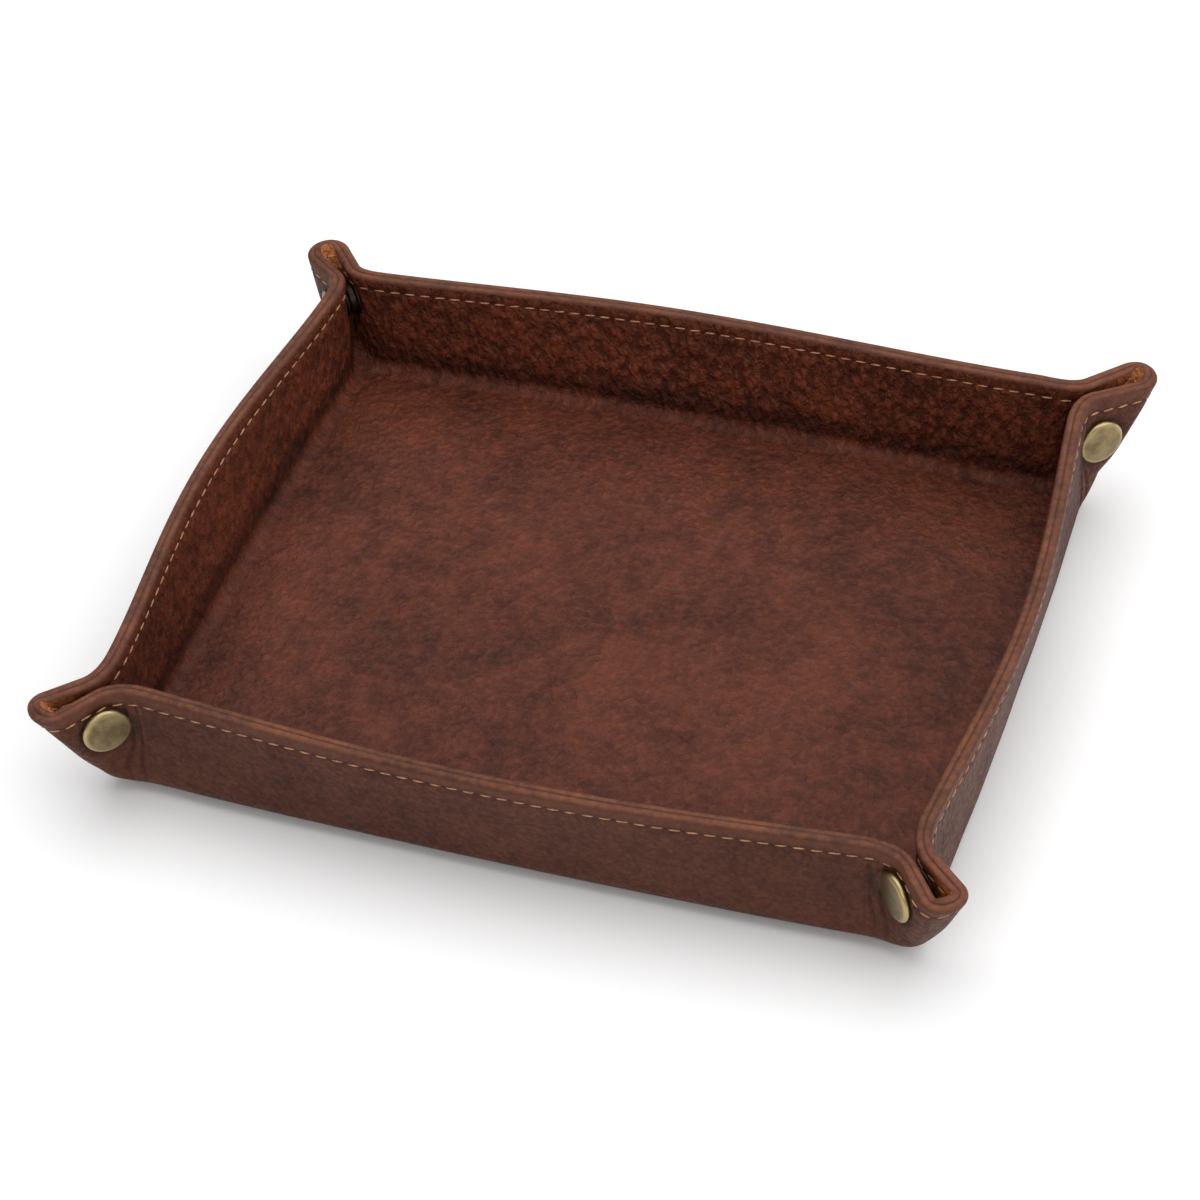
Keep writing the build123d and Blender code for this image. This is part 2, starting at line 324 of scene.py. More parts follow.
@dataclass(frozen=True)
class HalfWall:
    """The outer face of half a wall with half of its corner, in the corner's own axes.

    The first axis runs out of the tray and the second along the wall towards the corner.

    Attributes:
        wall: The wall it belongs to.
        corner: The corner that it runs to.
        mesh: How finely it is divided.
        mouth_back: Distance from the corner to where the wall starts to bend into it.
        slope_back: Distance from the corner to where the wall reaches its end's slope.
        round_shares: Shares of a rounded corner's length where its mouth and its ear end.
        round_pull: How square a rounded corner is at its diagonal.
        pinch_done: Height share where a corner is fully pinched.
        full_until: Height shares between which the swelling of the fold fades.
        fold_arc: Radius of the curve in which the folded edge leaves the floor.
        fold_start: Place on the diagonal where that curve starts.
        opening: Height shares between which an ear opens towards its rim.
        near: How much an ear's inner end narrows there.
        flat_start: Place of the ear's inner end on the diagonal at the foot, and how far out it moves by the rim.
        fold_run: Length of half a fold along the diagonal, and how much it grows where the ear opens.
        least_flat: Shortest flat of an ear.
        tight: How square the mouth's bend is at the foot, and how much less by the rim.
        square: How square the fold is, and how much less where the ear opens.
    """

    wall: WallSize
    corner: str
    mesh: Mesh
    mouth_back: float = 14.6
    slope_back: float = 9.9
    round_shares: tuple[float, float] = (0.64, 0.82)
    round_pull: float = 0.44
    pinch_done: float = 0.42
    full_until: tuple[float, float] = (0.12, 0.95)
    fold_arc: float = 16.0
    fold_start: float = -14.3
    opening: tuple[float, float] = (0.7, 1.0)
    near: float = 1.2
    flat_start: tuple[float, float] = (-4.3, 4.9)
    fold_run: tuple[float, float] = (5.5, 0.9)
    least_flat: float = 0.6
    tight: tuple[float, float] = (0.86, 0.2)
    square: tuple[float, float] = (0.74, 0.14)

    @property
    def slope(self) -> float:
        """Slope of the wall's end in radians."""
        return math.radians(SIZE.slope)

    @property
    def mouth_at(self) -> float:
        """Place along the wall where the corner's mouth starts."""
        return -self.mouth_back * math.cos(self.slope)

    def wall_out(self, along: np.ndarray, lift: float) -> np.ndarray:
        """Distance of the wall out from its corner line.

        Args:
            along: Places along the wall, 0 at the corner and negative before it.
            lift: Height share from foot to rim.

        Returns:
            One distance for each place.
        """
        end = -self.slope_back * math.cos(self.slope)
        end_out = self.slope_back * math.sin(self.slope)
        length = self.wall.span + end
        bow = self.wall.bow_foot + (self.wall.bow_rim - self.wall.bow_foot) * lift - end_out
        eta = (along + self.wall.span) / length
        bend = 1 - math.tan(self.slope) * length / (2 * bow)
        return end_out + bow * (1 - eta**2) * (1 - bend * eta**2)

    def wall_points(self, lift: float) -> np.ndarray:
        """The stretch from the middle of the wall to the corner's mouth.

        Args:
            lift: Height share from foot to rim.

        Returns:
            Points as out and along.
        """
        share = np.linspace(0, 1, self.mesh.wall + 1)
        along = -self.wall.span + share * (self.wall.span + self.mouth_at)
        return np.column_stack([self.wall_out(along, lift), along])

    def mouth_tangent(self, lift: float) -> np.ndarray:
        """Direction of the wall where the corner's mouth starts.

        Args:
            lift: Height share from foot to rim.

        Returns:
            A unit vector as out and along.
        """
        step = 0.5
        ends = self.wall_out(np.array([self.mouth_at - step, self.mouth_at + step]), lift)
        return unit(np.array([ends[1] - ends[0], 2 * step]))

    def ridge_at(self, lift: float) -> float:
        """Place of the folded edge on the diagonal, above the foot.

        Args:
            lift: Height share from foot to rim.

        Returns:
            Its distance out from the corner.
        """
        corner = CORNERS[self.corner]
        rise = math.radians(SIZE.fold_rise)
        height = SIZE.fold_foot + lift * (SIZE.tip_height + corner.raised - SIZE.fold_foot)
        full = corner.fullness * float(1 - smooth(*self.full_until, lift))
        return SIZE.reach - (SIZE.tip_height - height) / math.tan(rise) + full

    def rounded_corner(self, start: np.ndarray, tangent: np.ndarray, ridge: float) -> np.ndarray:
        """A corner with no ear, rounded from the wall to the diagonal.

        Args:
            start: The wall's last point.
            tangent: Direction of the wall there.
            ridge: Place of the corner on the diagonal.

        Returns:
            Points from the wall's last point to the diagonal.
        """
        mouth, ear = self.round_shares
        share = np.concatenate(
            [
                np.linspace(0, mouth, self.mesh.mouth + 1),
                np.linspace(mouth, ear, self.mesh.ear + 1)[1:],
                np.linspace(ear, 1, self.mesh.fold + 1)[1:],
            ]
        )
        end = DIAGONAL * ridge
        gap = np.linalg.norm(end - start)
        before_end = end + ACROSS * gap * self.round_pull
        return bezier([start, start + tangent * gap * 0.5, before_end, end], share)

    def pinched_corner(self, start: np.ndarray, tangent: np.ndarray, ridge: float, lift: float) -> np.ndarray:
        """A corner drawn out into an ear: mouth, flat and half of the fold.

        Args:
            start: The wall's last point.
            tangent: Direction of the wall there.
            ridge: Place of the folded edge on the diagonal.
            lift: Height share from foot to rim.

        Returns:
            Points from the wall's last point to the folded edge.
        """
        mesh = self.mesh
        opened = float(smooth(*self.opening, lift))
        flat_start = self.flat_start[0] + self.flat_start[1] * lift**2
        fold_run = self.fold_run[0] + self.fold_run[1] * opened
        flat_end = max(ridge - fold_run, flat_start + self.least_flat)
        mouth_end = DIAGONAL * flat_start + ACROSS * (SIZE.ear_half - self.near * opened)
        ear_end = DIAGONAL * flat_end + ACROSS * SIZE.ear_half
        heading = unit(ear_end - mouth_end)
        meet = np.linalg.solve(np.column_stack([tangent, heading]), mouth_end - start)
        tight = self.tight[0] - self.tight[1] * lift
        mouth = bezier(
            [start, start + tangent * meet[0] * tight, mouth_end - heading * meet[1] * tight, mouth_end],
            np.linspace(0, 1, mesh.mouth + 1),
        )
        ear = mouth_end + (ear_end - mouth_end) * np.linspace(0, 1, mesh.ear + 1)[1:, None]
        tip = DIAGONAL * ridge
        square = self.square[0] - self.square[1] * opened
        after_ear = ear_end + heading * (ridge - flat_end) * square
        before_tip = tip + ACROSS * SIZE.ear_half * square
        fold = bezier([ear_end, after_ear, before_tip, tip], np.linspace(0, 1, mesh.fold + 1))[1:]
        return np.vstack([mouth, ear, fold])

    def upper_row(self, lift: float) -> np.ndarray:
        """One row of points between foot and rim.

        Args:
            lift: Height share from foot to rim.

        Returns:
            Points as out, along and height.
        """
        ridge = self.ridge_at(lift)
        wall = self.wall_points(lift)
        tangent = self.mouth_tangent(lift)
        pinched = self.pinched_corner(wall[-1], tangent, ridge, lift)
        rounded = self.rounded_corner(wall[-1], tangent, ridge)
        blend = float(smooth(0.0, self.pinch_done, lift))
        corner = rounded * (1 - blend) + pinched * blend
        return np.column_stack([np.vstack([wall, corner[1:]]), self.height_row(lift)])

    def height_row(self, lift: float) -> np.ndarray:
        """Heights along a row: the walls sag in the middle and the ears droop to their tips.

        Args:
            lift: Height share from foot to rim.

        Returns:
            One height for each point of the row.
        """
        mesh = self.mesh
        raised = CORNERS[self.corner].raised
        steps = np.arange(mesh.cells() + 1)
        wall = steps[: mesh.wall + 1] / mesh.wall
        rise = SIZE.rim_rise * wall**3 + raised * wall**self.wall.rise_power
        rim = SIZE.rim_height + rise + self.wall.raised_middle * (1 - wall**2)
        end = SIZE.rim_height + SIZE.rim_rise
        droop = smooth(0, 1, (steps[mesh.wall + 1 :] - mesh.wall) / (mesh.cells() - mesh.wall))
        top = np.concatenate([rim, end + raised + (SIZE.tip_height - end) * droop])
        foot = SIZE.foot_radius + (SIZE.fold_foot - SIZE.foot_radius) * droop
        low = np.concatenate([np.full(mesh.wall + 1, SIZE.foot_radius), foot])
        return low + (top - low) * lift

    def foot_row(self, share: float) -> np.ndarray:
        """One row of points in the bend between the floor and the walls.

        Args:
            share: Share of the bend from the floor up.

        Returns:
            Points as out, along and height.
        """
        mesh = self.mesh
        turn = math.radians(90 * share)
        inset = SIZE.foot_radius * (1 - math.sin(turn))
        height = SIZE.foot_radius * (1 - math.cos(turn))
        lean = math.radians(SIZE.fold_rise * share)
        full = CORNERS[self.corner].fullness * float(smooth(0.2, 1.0, share))
        ridge = self.fold_start + self.fold_arc * math.sin(lean) + full
        ridge_height = self.fold_arc * (1 - math.cos(lean))
        wall = self.wall_points(0.0) - np.array([inset, 0])
        corner = self.rounded_corner(wall[-1], self.mouth_tangent(0.0), ridge)
        plan = np.vstack([wall, corner[1:]])
        rise = smooth(0, 1, (np.arange(mesh.cells() + 1) - mesh.wall) / (mesh.cells() - mesh.wall))
        return np.column_stack([plan, height + (ridge_height - height) * rise])

    def placed(self, row: np.ndarray) -> np.ndarray:
        """Turns a row from the corner's own axes to the tray's.

        Args:
            row: Points as out, along and height.

        Returns:
            The points in the tray's frame, in millimetres.
        """
        origin, out, along = wall_axes(self.wall, self.corner)
        return origin + row[:, :1] * out + row[:, 1:2] * along + row[:, 2:] * UP


@dataclass(frozen=True)
class Stretch:
    """A run of columns of the leather that moves as one.

    Attributes:
        wall: The wall it belongs to.
        part: Which part of the half wall it is.
        corner: The corner it belongs to, or nothing for the wall itself.
        first: Its first column.
        last: Its last column.
    """

    wall: WallSize
    part: Part
    corner: str
    first: int
    last: int

    def title(self) -> str:
        """Its name in the names of pieces."""
        return f"{self.part.value}_{self.wall.name}" + (f"_{self.corner}" if self.corner else "")


@dataclass(frozen=True)
class Crease:
    """A crease in the outer face beside a pinched corner.

    Attributes:
        step: Step of the half wall that it lies on.
        width: Its width in steps.
        depth: Its depth in millimetres.
    """

    step: float
    width: float
    depth: float


class LeatherForm:
    """The whole stitched leather as one closed grid of points, in millimetres.

    Rows run up the outer hide, over the rim and down the lining. Columns run counter-clockwise round the tray.

    Attributes:
        SEAM_DROP: Distance of the seam below the rim.
        GROOVE_DEPTH: Depth of the groove that the seam lies in.
        GROOVE_WIDTH: Width of that groove.
        FOOT_RUN: Length of the bend at the foot.
        FLOOR_DROP: Distance below the rim that stands for the whole floor.
        NEAR_DROPS: Distances below the rim of the rows near it.
        FAR_DROPS: Distances of the rows below those.
        CAP_PRESS: Radius and depth of the hollow that a cap presses in the outer face.
        EYELET_PRESS: The same for an eyelet.
        PRESS_REACH: Distance from a stud's axis within which the outer face is pressed.
        PRESS_OUT: Least and greatest distance of that face from the middle of the corner.
        PRESS_SLOPE: Where the hollow's side starts and ends, from its radius.
        SHADE_RING: Place of the painted shade ring round the hollow, from its radius, and its width.
        CREASES: The creases beside each corner.
        CREASE_SEED: Seed of the creases' small differences.
        RIM_PROFILE: Depth into the leather and height above the hides' edge of each row of the burnished rim.
    """

    SEAM_DROP = 4.3
    GROOVE_DEPTH = 0.26
    GROOVE_WIDTH = 0.8
    FOOT_RUN = 9
    FLOOR_DROP = 60.0
    NEAR_DROPS = (1.2, 1.6, 2.0, 2.4, 2.8, 3.2, 3.6, 4.0, 4.3, 4.6, 5.0, 5.5, 6.1, 6.8)
    FAR_DROPS = tuple(7.6 + step * 1.02 for step in range(21))
    CAP_PRESS = (6.8, 0.42)
    EYELET_PRESS = (4.6, 0.30)
    PRESS_REACH = 14.0
    PRESS_OUT = (2.0, 12.0)
    PRESS_SLOPE = (-0.2, 2.6)
    SHADE_RING = (0.35, 0.75)
    CREASES = (Crease(86, 1.5, 0.62), Crease(79, 1.2, 0.55), Crease(74, 1.0, 0.34), Crease(69, 1.2, 0.22))
    CREASE_SEED = 7
    RIM_PROFILE = (
        (0.08, 0.36), (0.30, 0.74), (0.66, 1.00), (1.10, 1.12), (1.60, 1.10), (2.00, 0.98), (2.20, 0.80),
        (2.28, 0.74), (2.36, 0.80), (2.56, 0.94), (2.90, 1.02), (3.30, 1.00), (3.72, 0.84), (4.04, 0.56),
        (4.22, 0.26),
    )  # fmt: skip

    def __init__(self, mesh: Mesh) -> None:
        """Builds the grid.

        Args:
            mesh: How finely the leather is divided.
        """
        self.mesh = mesh
        self.drops = np.array(self.NEAR_DROPS + self.FAR_DROPS)[::-1]
        self.foot_rows = mesh.foot + 1
        self.outer_count = self.foot_rows + len(self.drops)
        self.seam_row = self.foot_rows + int(np.argmin(np.abs(self.drops - self.SEAM_DROP)))
        self.stretches: list[Stretch] = []
        outer, lining, shade = self._dress(self._outer_rows())
        self.grid = np.concatenate([outer, self._rim(outer, lining), lining[::-1]])
        self.shade = np.zeros(self.grid.shape[:2])
        self.shade[: self.outer_count] = shade
        self.normals = self._normals_of(self.grid)
        self.normals[-1] = UP
        self.rest_lengths = self._lengths()
        LOG.info("leather grid has %d rows and %d columns", *self.grid.shape[:2])

    def _outer_rows(self) -> np.ndarray:
        """Shapes the bare outer face and notes its stretches.

        Returns:
            Its rows, from the floor's edge up to the rim.
        """
        lifts = 1 - self.drops / SIZE.wall_run
        columns = []
        place = 0
        for wall in WALLS:
            halves = []
            for corner in (wall.start, wall.end):
                half = HalfWall(wall, corner, self.mesh)
                foot = [half.foot_row(share) for share in np.linspace(0, 1, self.foot_rows)]
                upper = [half.upper_row(lift) for lift in lifts]
                halves.append(np.stack([half.placed(row) for row in foot + upper]))
            columns += [halves[0][:, ::-1], halves[1][:, 1:-1]]
            self._mark(wall, place)
            place += 2 * self.mesh.cells()
        return np.concatenate(columns, axis=1)

    def _mark(self, wall: WallSize, place: int) -> None:
        """Notes which columns belong to which stretch of a wall.

        Args:
            wall: The wall.
            place: Its first column.
        """
        cells = self.mesh.cells()
        for part in (Part.FOLD, Part.EAR, Part.MOUTH):
            low, high = self.mesh.reach_of(part)
            self.stretches.append(Stretch(wall, part, wall.start, place + cells - high, place + cells - low))
            self.stretches.append(Stretch(wall, part, wall.end, place + cells + low, place + cells + high))
        run = self.mesh.wall
        self.stretches.append(Stretch(wall, Part.WALL, "", place + cells - run, place + cells + run))

    @staticmethod
    def _normals_of(rows: np.ndarray) -> np.ndarray:
        """Unit normals of a grid whose first row lies round the underside.

        Args:
            rows: The grid's points.

        Returns:
            One normal for each point.
        """
        along = np.roll(rows, -1, axis=1) - np.roll(rows, 1, axis=1)
        normal = np.cross(along, np.gradient(rows, axis=0))
        normal[0] = -UP
        return unit(normal)

    def _lengths(self) -> np.ndarray:
        """Measures the tray round its seam.

        Returns:
            Distance of each column from the first, in millimetres.
        """
        row = self.grid[self.seam_row]
        step = np.linalg.norm(np.roll(row, -1, axis=0) - row, axis=1)
        return np.concatenate([[0], np.cumsum(step)])

    def _dress(self, outer: np.ndarray) -> tuple[np.ndarray, np.ndarray, np.ndarray]:
        """Adds the seam's groove and the wrinkles, and lays the lining behind the outer face.

        Args:
            outer: Rows of the bare outer face.

        Returns:
            Rows of the dressed outer face and of the lining, and the painted shade of each point of the outer face.
        """
        normal = self._normals_of(outer)
        drop = np.concatenate([np.full(self.foot_rows, self.FLOOR_DROP), self.drops])
        groove = self.GROOVE_DEPTH * np.exp(-(((drop - self.SEAM_DROP) / self.GROOVE_WIDTH) ** 2))[:, None, None]
        lining = outer - normal * (SIZE.leather - groove)
        wrinkles = self._wrinkles(outer.shape[:2])
        pressed, ring = self._pressed(outer)
        # Painted shade: a dark ring round each stud and darkening in the outer face's creases.
        shade = np.clip(ring + np.maximum(-wrinkles, 0) * 1.1, 0, 1)
        dressed = outer - normal * groove + normal * (wrinkles - pressed)[:, :, None]
        return dressed, lining, shade

    def _pressed(self, outer: np.ndarray) -> tuple[np.ndarray, np.ndarray]:
        """The hollow that each cap and eyelet presses in the outer face, and the ring of painted shade round it.

        Args:
            outer: Rows of the bare outer face.

        Returns:
            The hollow's depth in millimetres and the strength of the painted shade ring from 0 to 1, for each point.
        """
        pressed = np.zeros(outer.shape[:2])
        ring = np.zeros(outer.shape[:2])
        for wall in WALLS:
            for corner in (wall.start, wall.end):
                radius, depth = self.CAP_PRESS if CORNERS[corner].cap_wall == wall.name else self.EYELET_PRESS
                across = corner_axes(wall, corner)[2]
                offset = outer - stud_centre(wall, corner)
                out = offset @ across
                away = np.linalg.norm(offset - out[:, :, None] * across, axis=2)
                near = (out > self.PRESS_OUT[0]) & (out < self.PRESS_OUT[1]) & (away < self.PRESS_REACH)
                beyond = away - radius
                pressed += np.where(near, depth * (1 - smooth(*self.PRESS_SLOPE, beyond)), 0)
                ring += np.where(near, np.exp(-(((beyond - self.SHADE_RING[0]) / self.SHADE_RING[1]) ** 2)), 0)
        return pressed, ring

    def _wrinkles(self, shape: tuple[int, int]) -> np.ndarray:
        """The creases in the outer face beside each pinched corner, and its slow waves.

        Args:
            shape: Rows and columns of the outer face.

        Returns:
            A height in millimetres for each point.
        """
        columns = np.arange(shape[1])
        steps = self.mesh.from_middle(columns)
        lift = np.linspace(0, 1, shape[0])[:, None]
        body = smooth(0.10, 0.35, lift) * (1 - smooth(0.72, 0.93, lift))
        total = np.zeros(shape)
        rng = np.random.default_rng(self.CREASE_SEED)
        for half in range(2 * len(WALLS)):
            here = columns // self.mesh.cells() == half
            for crease in self.CREASES:
                wobble = rng.uniform(-1, 1, 3)
                line = crease.step + wobble[0] + 1.6 * np.sin(lift * (3 + wobble[1]) + wobble[2] * 3)
                depth = crease.depth * np.exp(-(((steps - line) / crease.width) ** 2))
                total -= np.where(here, depth, 0) * body
        waves = 0.12 * np.sin(columns * 0.11 + 4 * lift) + 0.08 * np.sin(columns * 0.23 - 6 * lift + 1)
        flat = 1 - smooth(self.mesh.wall - 6, self.mesh.wall + 10, steps)
        return total + waves * body * flat

    def _rim(self, outer: np.ndarray, lining: np.ndarray) -> np.ndarray:
        """The burnished edge: two rounded bands with the glue line between them.

        Args:
            outer: Rows of the outer face.
            lining: Rows of the lining.

        Returns:
            The rows that lie between the two.
        """
        up = unit(outer[-1] - outer[-2])
        rows = []
        for depth, height in self.RIM_PROFILE:
            share = depth / SIZE.leather
            rows.append(outer[-1] * (1 - share) + lining[-1] * share + up * height)
        return np.stack(rows)

    def rim_distance(self) -> np.ndarray:
        """Distance below the rim of every row, on both faces.

        Returns:
            One distance for each row, in millimetres.
        """
        foot = SIZE.wall_run + self.FOOT_RUN * (1 - np.linspace(0, 1, self.foot_rows))
        drop = np.concatenate([foot, self.drops])
        return np.concatenate([drop, np.zeros(len(self.RIM_PROFILE)), drop[::-1]])

    def depth(self) -> np.ndarray:
        """How far through the leather every row lies, 0 on the outer face and 1 on the lining."""
        rim = [depth / SIZE.leather for depth, _ in self.RIM_PROFILE]
        return np.concatenate([np.zeros(self.outer_count), rim, np.ones(self.outer_count)])


class Wire:
    """A shader value that can be used in sums."""

    def __init__(self, graph: "Graph", source: bpy.types.NodeSocket) -> None:
        """Wraps a node's output.

        Args:
            graph: The graph that the node is in.
            source: The output that carries the value.
        """
        self.graph = graph
        self.source = source

    def _with(self, operation: str, *others: "Wire | float") -> "Wire":
        """Feeds this value and others to a maths node.

        Args:
            operation: What the node works out.
            others: Its further inputs.

        Returns:
            The result.
        """
        return self.graph.add("ShaderNodeMath", {"operation": operation}, {0: self, **dict(enumerate(others, 1))})

    def __add__(self, other: "Wire | float") -> "Wire":
        """The sum of the two."""
        return self._with("ADD", other)

    def __sub__(self, other: "Wire | float") -> "Wire":
        """This value less the other."""
        return self._with("SUBTRACT", other)

    def __mul__(self, other: "Wire | float") -> "Wire":
        """The product of the two."""
        return self._with("MULTIPLY", other)

    def __radd__(self, other: float) -> "Wire":
        """The sum with a plain number first."""
        return self + other

    def __rmul__(self, other: float) -> "Wire":
        """The product with a plain number first."""
        return self * other

    def __rsub__(self, other: float) -> "Wire":
        """A plain number less this value."""
        return self.graph.add("ShaderNodeMath", {"operation": "SUBTRACT"}, {0: other, 1: self})

    def ramp(self, low: float, high: float) -> "Wire":
        """Rises smoothly from 0 at low to 1 at high.

        Args:
            low: Value that gives 0.
            high: Value that gives 1.

        Returns:
            The mapped value.
        """
        settings = {"interpolation_type": "SMOOTHSTEP"}
        return self.graph.add("ShaderNodeMapRange", settings, {"Value": self, "From Min": low, "From Max": high})


class Graph:
    """A material's nodes."""

    def __init__(self, name: str) -> None:
        """Makes the material with an empty shader.

        Args:
            name: Name of the material.
        """
        self.material = bpy.data.materials.new(name)
        self.material.use_nodes = True
        self.nodes = self.material.node_tree.nodes
        self.links = self.material.node_tree.links
        self.shader = self.nodes["Principled BSDF"]

    def add(self, kind: str, settings: dict, inputs: dict, output: int | str = 0) -> Wire:
        """Makes one node.

        Args:
            kind: The node's type.
            settings: Its properties.
            inputs: Values or wires for its inputs, by name or number.
            output: The output to hand on.

        Returns:
            That output.
        """
        node = self.nodes.new(kind)
        for key, value in settings.items():
            setattr(node, key, value)
        for key, value in inputs.items():
            self.feed(node.inputs[key], value)
        return Wire(self, node.outputs[output])

    def feed(self, socket: bpy.types.NodeSocket, value: "Wire | float | tuple") -> None:
        """Sets or links one input.

        Args:
            socket: The input.
            value: A value to set, or a wire to link.
        """
        if isinstance(value, Wire):
            self.links.new(value.source, socket)
        else:
            socket.default_value = value

    def attribute(self, name: str, vector: bool = False) -> Wire:
        """Reads one of the piece's own attributes."""
        return self.add("ShaderNodeAttribute", {"attribute_name": name}, {}, "Vector" if vector else "Fac")

    def noise(self, place: Wire, scale: float, detail: float = 4.0, rough: float = 0.55) -> Wire:
        """Smooth noise.

        Args:
            place: Where it is read.
            scale: Its cells per metre.
            detail: How many finer layers it has.
            rough: Strength of those layers.

        Returns:
            A value near 0.5.
        """
        values = {"Vector": place, "Scale": scale, "Detail": detail, "Roughness": rough}
        return self.add("ShaderNodeTexNoise", {"noise_dimensions": "3D"}, values)

    def cells(self, place: Wire, scale: float) -> Wire:
        """Distance to the middle of each pebble of a grain."""
        return self.add("ShaderNodeTexVoronoi", {"feature": "F1"}, {"Vector": place, "Scale": scale}, "Distance")

    def warped(self, place: Wire, scale: float, reach: float) -> Wire:
        """The same place pushed about by noise, so that a pattern on it is uneven.

        Args:
            place: The place.
            scale: The noise's cells per metre.
            reach: How far it pushes, in metres.

        Returns:
            The pushed place.
        """
        values = {"Vector": place, "Scale": scale, "Detail": 2.0}
        push = self.add("ShaderNodeTexNoise", {"noise_dimensions": "3D"}, values, "Color")
        push = self.add("ShaderNodeVectorMath", {"operation": "SUBTRACT"}, {0: push, 1: (0.5, 0.5, 0.5)})
        push = self.add("ShaderNodeVectorMath", {"operation": "SCALE"}, {0: push, "Scale": reach})
        return self.add("ShaderNodeVectorMath", {"operation": "ADD"}, {0: place, 1: push})

    def stretched(self, place: Wire, scale: tuple[float, float, float]) -> Wire:
        """The same place with each axis scaled."""
        return self.add("ShaderNodeVectorMath", {"operation": "MULTIPLY"}, {0: place, 1: scale})

    def mix(self, share: "Wire | float", first: "Wire | tuple", second: "Wire | tuple") -> Wire:
        """Mixes two colours.

        Args:
            share: Share of the second colour.
            first: The first colour.
            second: The second colour.

        Returns:
            The mixed colour.
        """
        return self.add("ShaderNodeMix", {"data_type": "RGBA"}, {0: share, 6: first, 7: second}, 2)

    def bump(self, height: Wire, distance: float) -> Wire:
        """Turns heights into a surface direction.

        Args:
            height: The heights.
            distance: Metres for each unit of height.

        Returns:
            The direction.
        """
        return self.add("ShaderNodeBump", {}, {"Height": height, "Distance": distance, "Strength": 1.0})


def linear(value: int) -> float:
    """One channel of a screen colour, from 0 to 255, as the renderer's own."""
    share = value / 255
    return ((share + 0.055) / 1.055) ** 2.4 if value > 10 else share / 12.92


def colour(red: int, green: int, blue: int) -> Colour:
    """Turns a screen colour to the renderer's own.

    Args:
        red: Red from 0 to 255.
        green: Green from 0 to 255.
        blue: Blue from 0 to 255.

    Returns:
        The colour with its alpha.
    """
    return linear(red), linear(green), linear(blue), 1.0


def darker(base: Colour, share: float) -> Colour:
    """A colour with only a share of its light."""
    return (*(share * part for part in base[:3]), 1.0)


@dataclass(frozen=True)
class LeatherFinish:
    """Look of one face of the leather.

    Attributes:
        name: Name of the material.
        dark: Colour in the creases.
        light: Colour on the high places.
        shoulder: Colour of the band between the seam and the rim, lighter than the rest: partly painted highlight on
            the rolled band, partly its own mottled tone.
        bare: Lighter tan colour of the lining inside the pinched loops, near the rim.
        pebble: Cells of the grain per metre.
        stretch: Scale of the grain up the walls, under 1 to lengthen it.
        relief: Depth of the grain in metres.
        pore_relief: Depth of the pores in metres.
        contrast: Share of the colour that follows the grain.
        rough: Mean roughness.
    """

    name: str
    dark: Colour
    light: Colour
    shoulder: Colour
    bare: Colour
    pebble: float
    stretch: float
    relief: float
    pore_relief: float
    contrast: float
    rough: float

    def build(self) -> bpy.types.Material:
        """Makes the material.

        Returns:
            The material.
        """
        graph = Graph(self.name)
        place = graph.attribute("rest", vector=True)
        rim = graph.attribute("rim")
        loop = graph.attribute("loop")
        foot = graph.attribute("foot")
        coarse = graph.attribute("coarse")
        grain_place = graph.stretched(graph.warped(place, 240, 0.0016), (1, 1, self.stretch))
        pebbles = 1 - graph.cells(grain_place, self.pebble).ramp(0.10, 0.70)
        folds = graph.noise(grain_place, self.pebble * 0.9, 3, 0.6).ramp(0.36, 0.64)
        grain = pebbles * 0.45 + folds * 0.55
        blotch = graph.noise(place, 26, 3, 0.6).ramp(0.30, 0.72)
        mottle = graph.noise(place, 150, 4, 0.62).ramp(0.30, 0.72)
        pores = graph.noise(place, 2400, 2, 0.6).ramp(0.30, 0.70)
        tone = blotch * 0.20 + mottle * 0.22 + pores * 0.16 + grain * coarse * self.contrast
        base = graph.mix(tone, self.dark, self.light)
        # Lighter band below the rim: partly painted highlight on the rolled band, partly its own mottled tone.
        base = graph.mix((1 - rim.ramp(1.9, 4.3)) * (0.45 + 0.40 * mottle), base, self.shoulder)
        # Lighter tan on the lining inside the pinched loops, near the rim.
        base = graph.mix(loop * (0.55 + 0.45 * mottle), base, self.bare)
        # Painted shade in the crease where the lining's walls meet the floor.
        base = graph.mix(foot * 0.55, base, darker(self.dark, 0.30))
        # Painted shade round the studs and in the creases of the outer face.
        base = graph.mix(graph.attribute("shade") * 0.62, base, darker(self.dark, 0.34))
        shader = graph.shader
        graph.feed(shader.inputs["Base Color"], base)
        graph.feed(shader.inputs["Roughness"], self.rough + 0.20 * (1 - grain) - 0.08 * blotch)
        height = grain * coarse * self.relief + pores * self.pore_relief
        graph.feed(shader.inputs["Normal"], graph.bump(height, 1.0))
        graph.feed(shader.inputs["Specular IOR Level"], 0.18)
        return graph.material


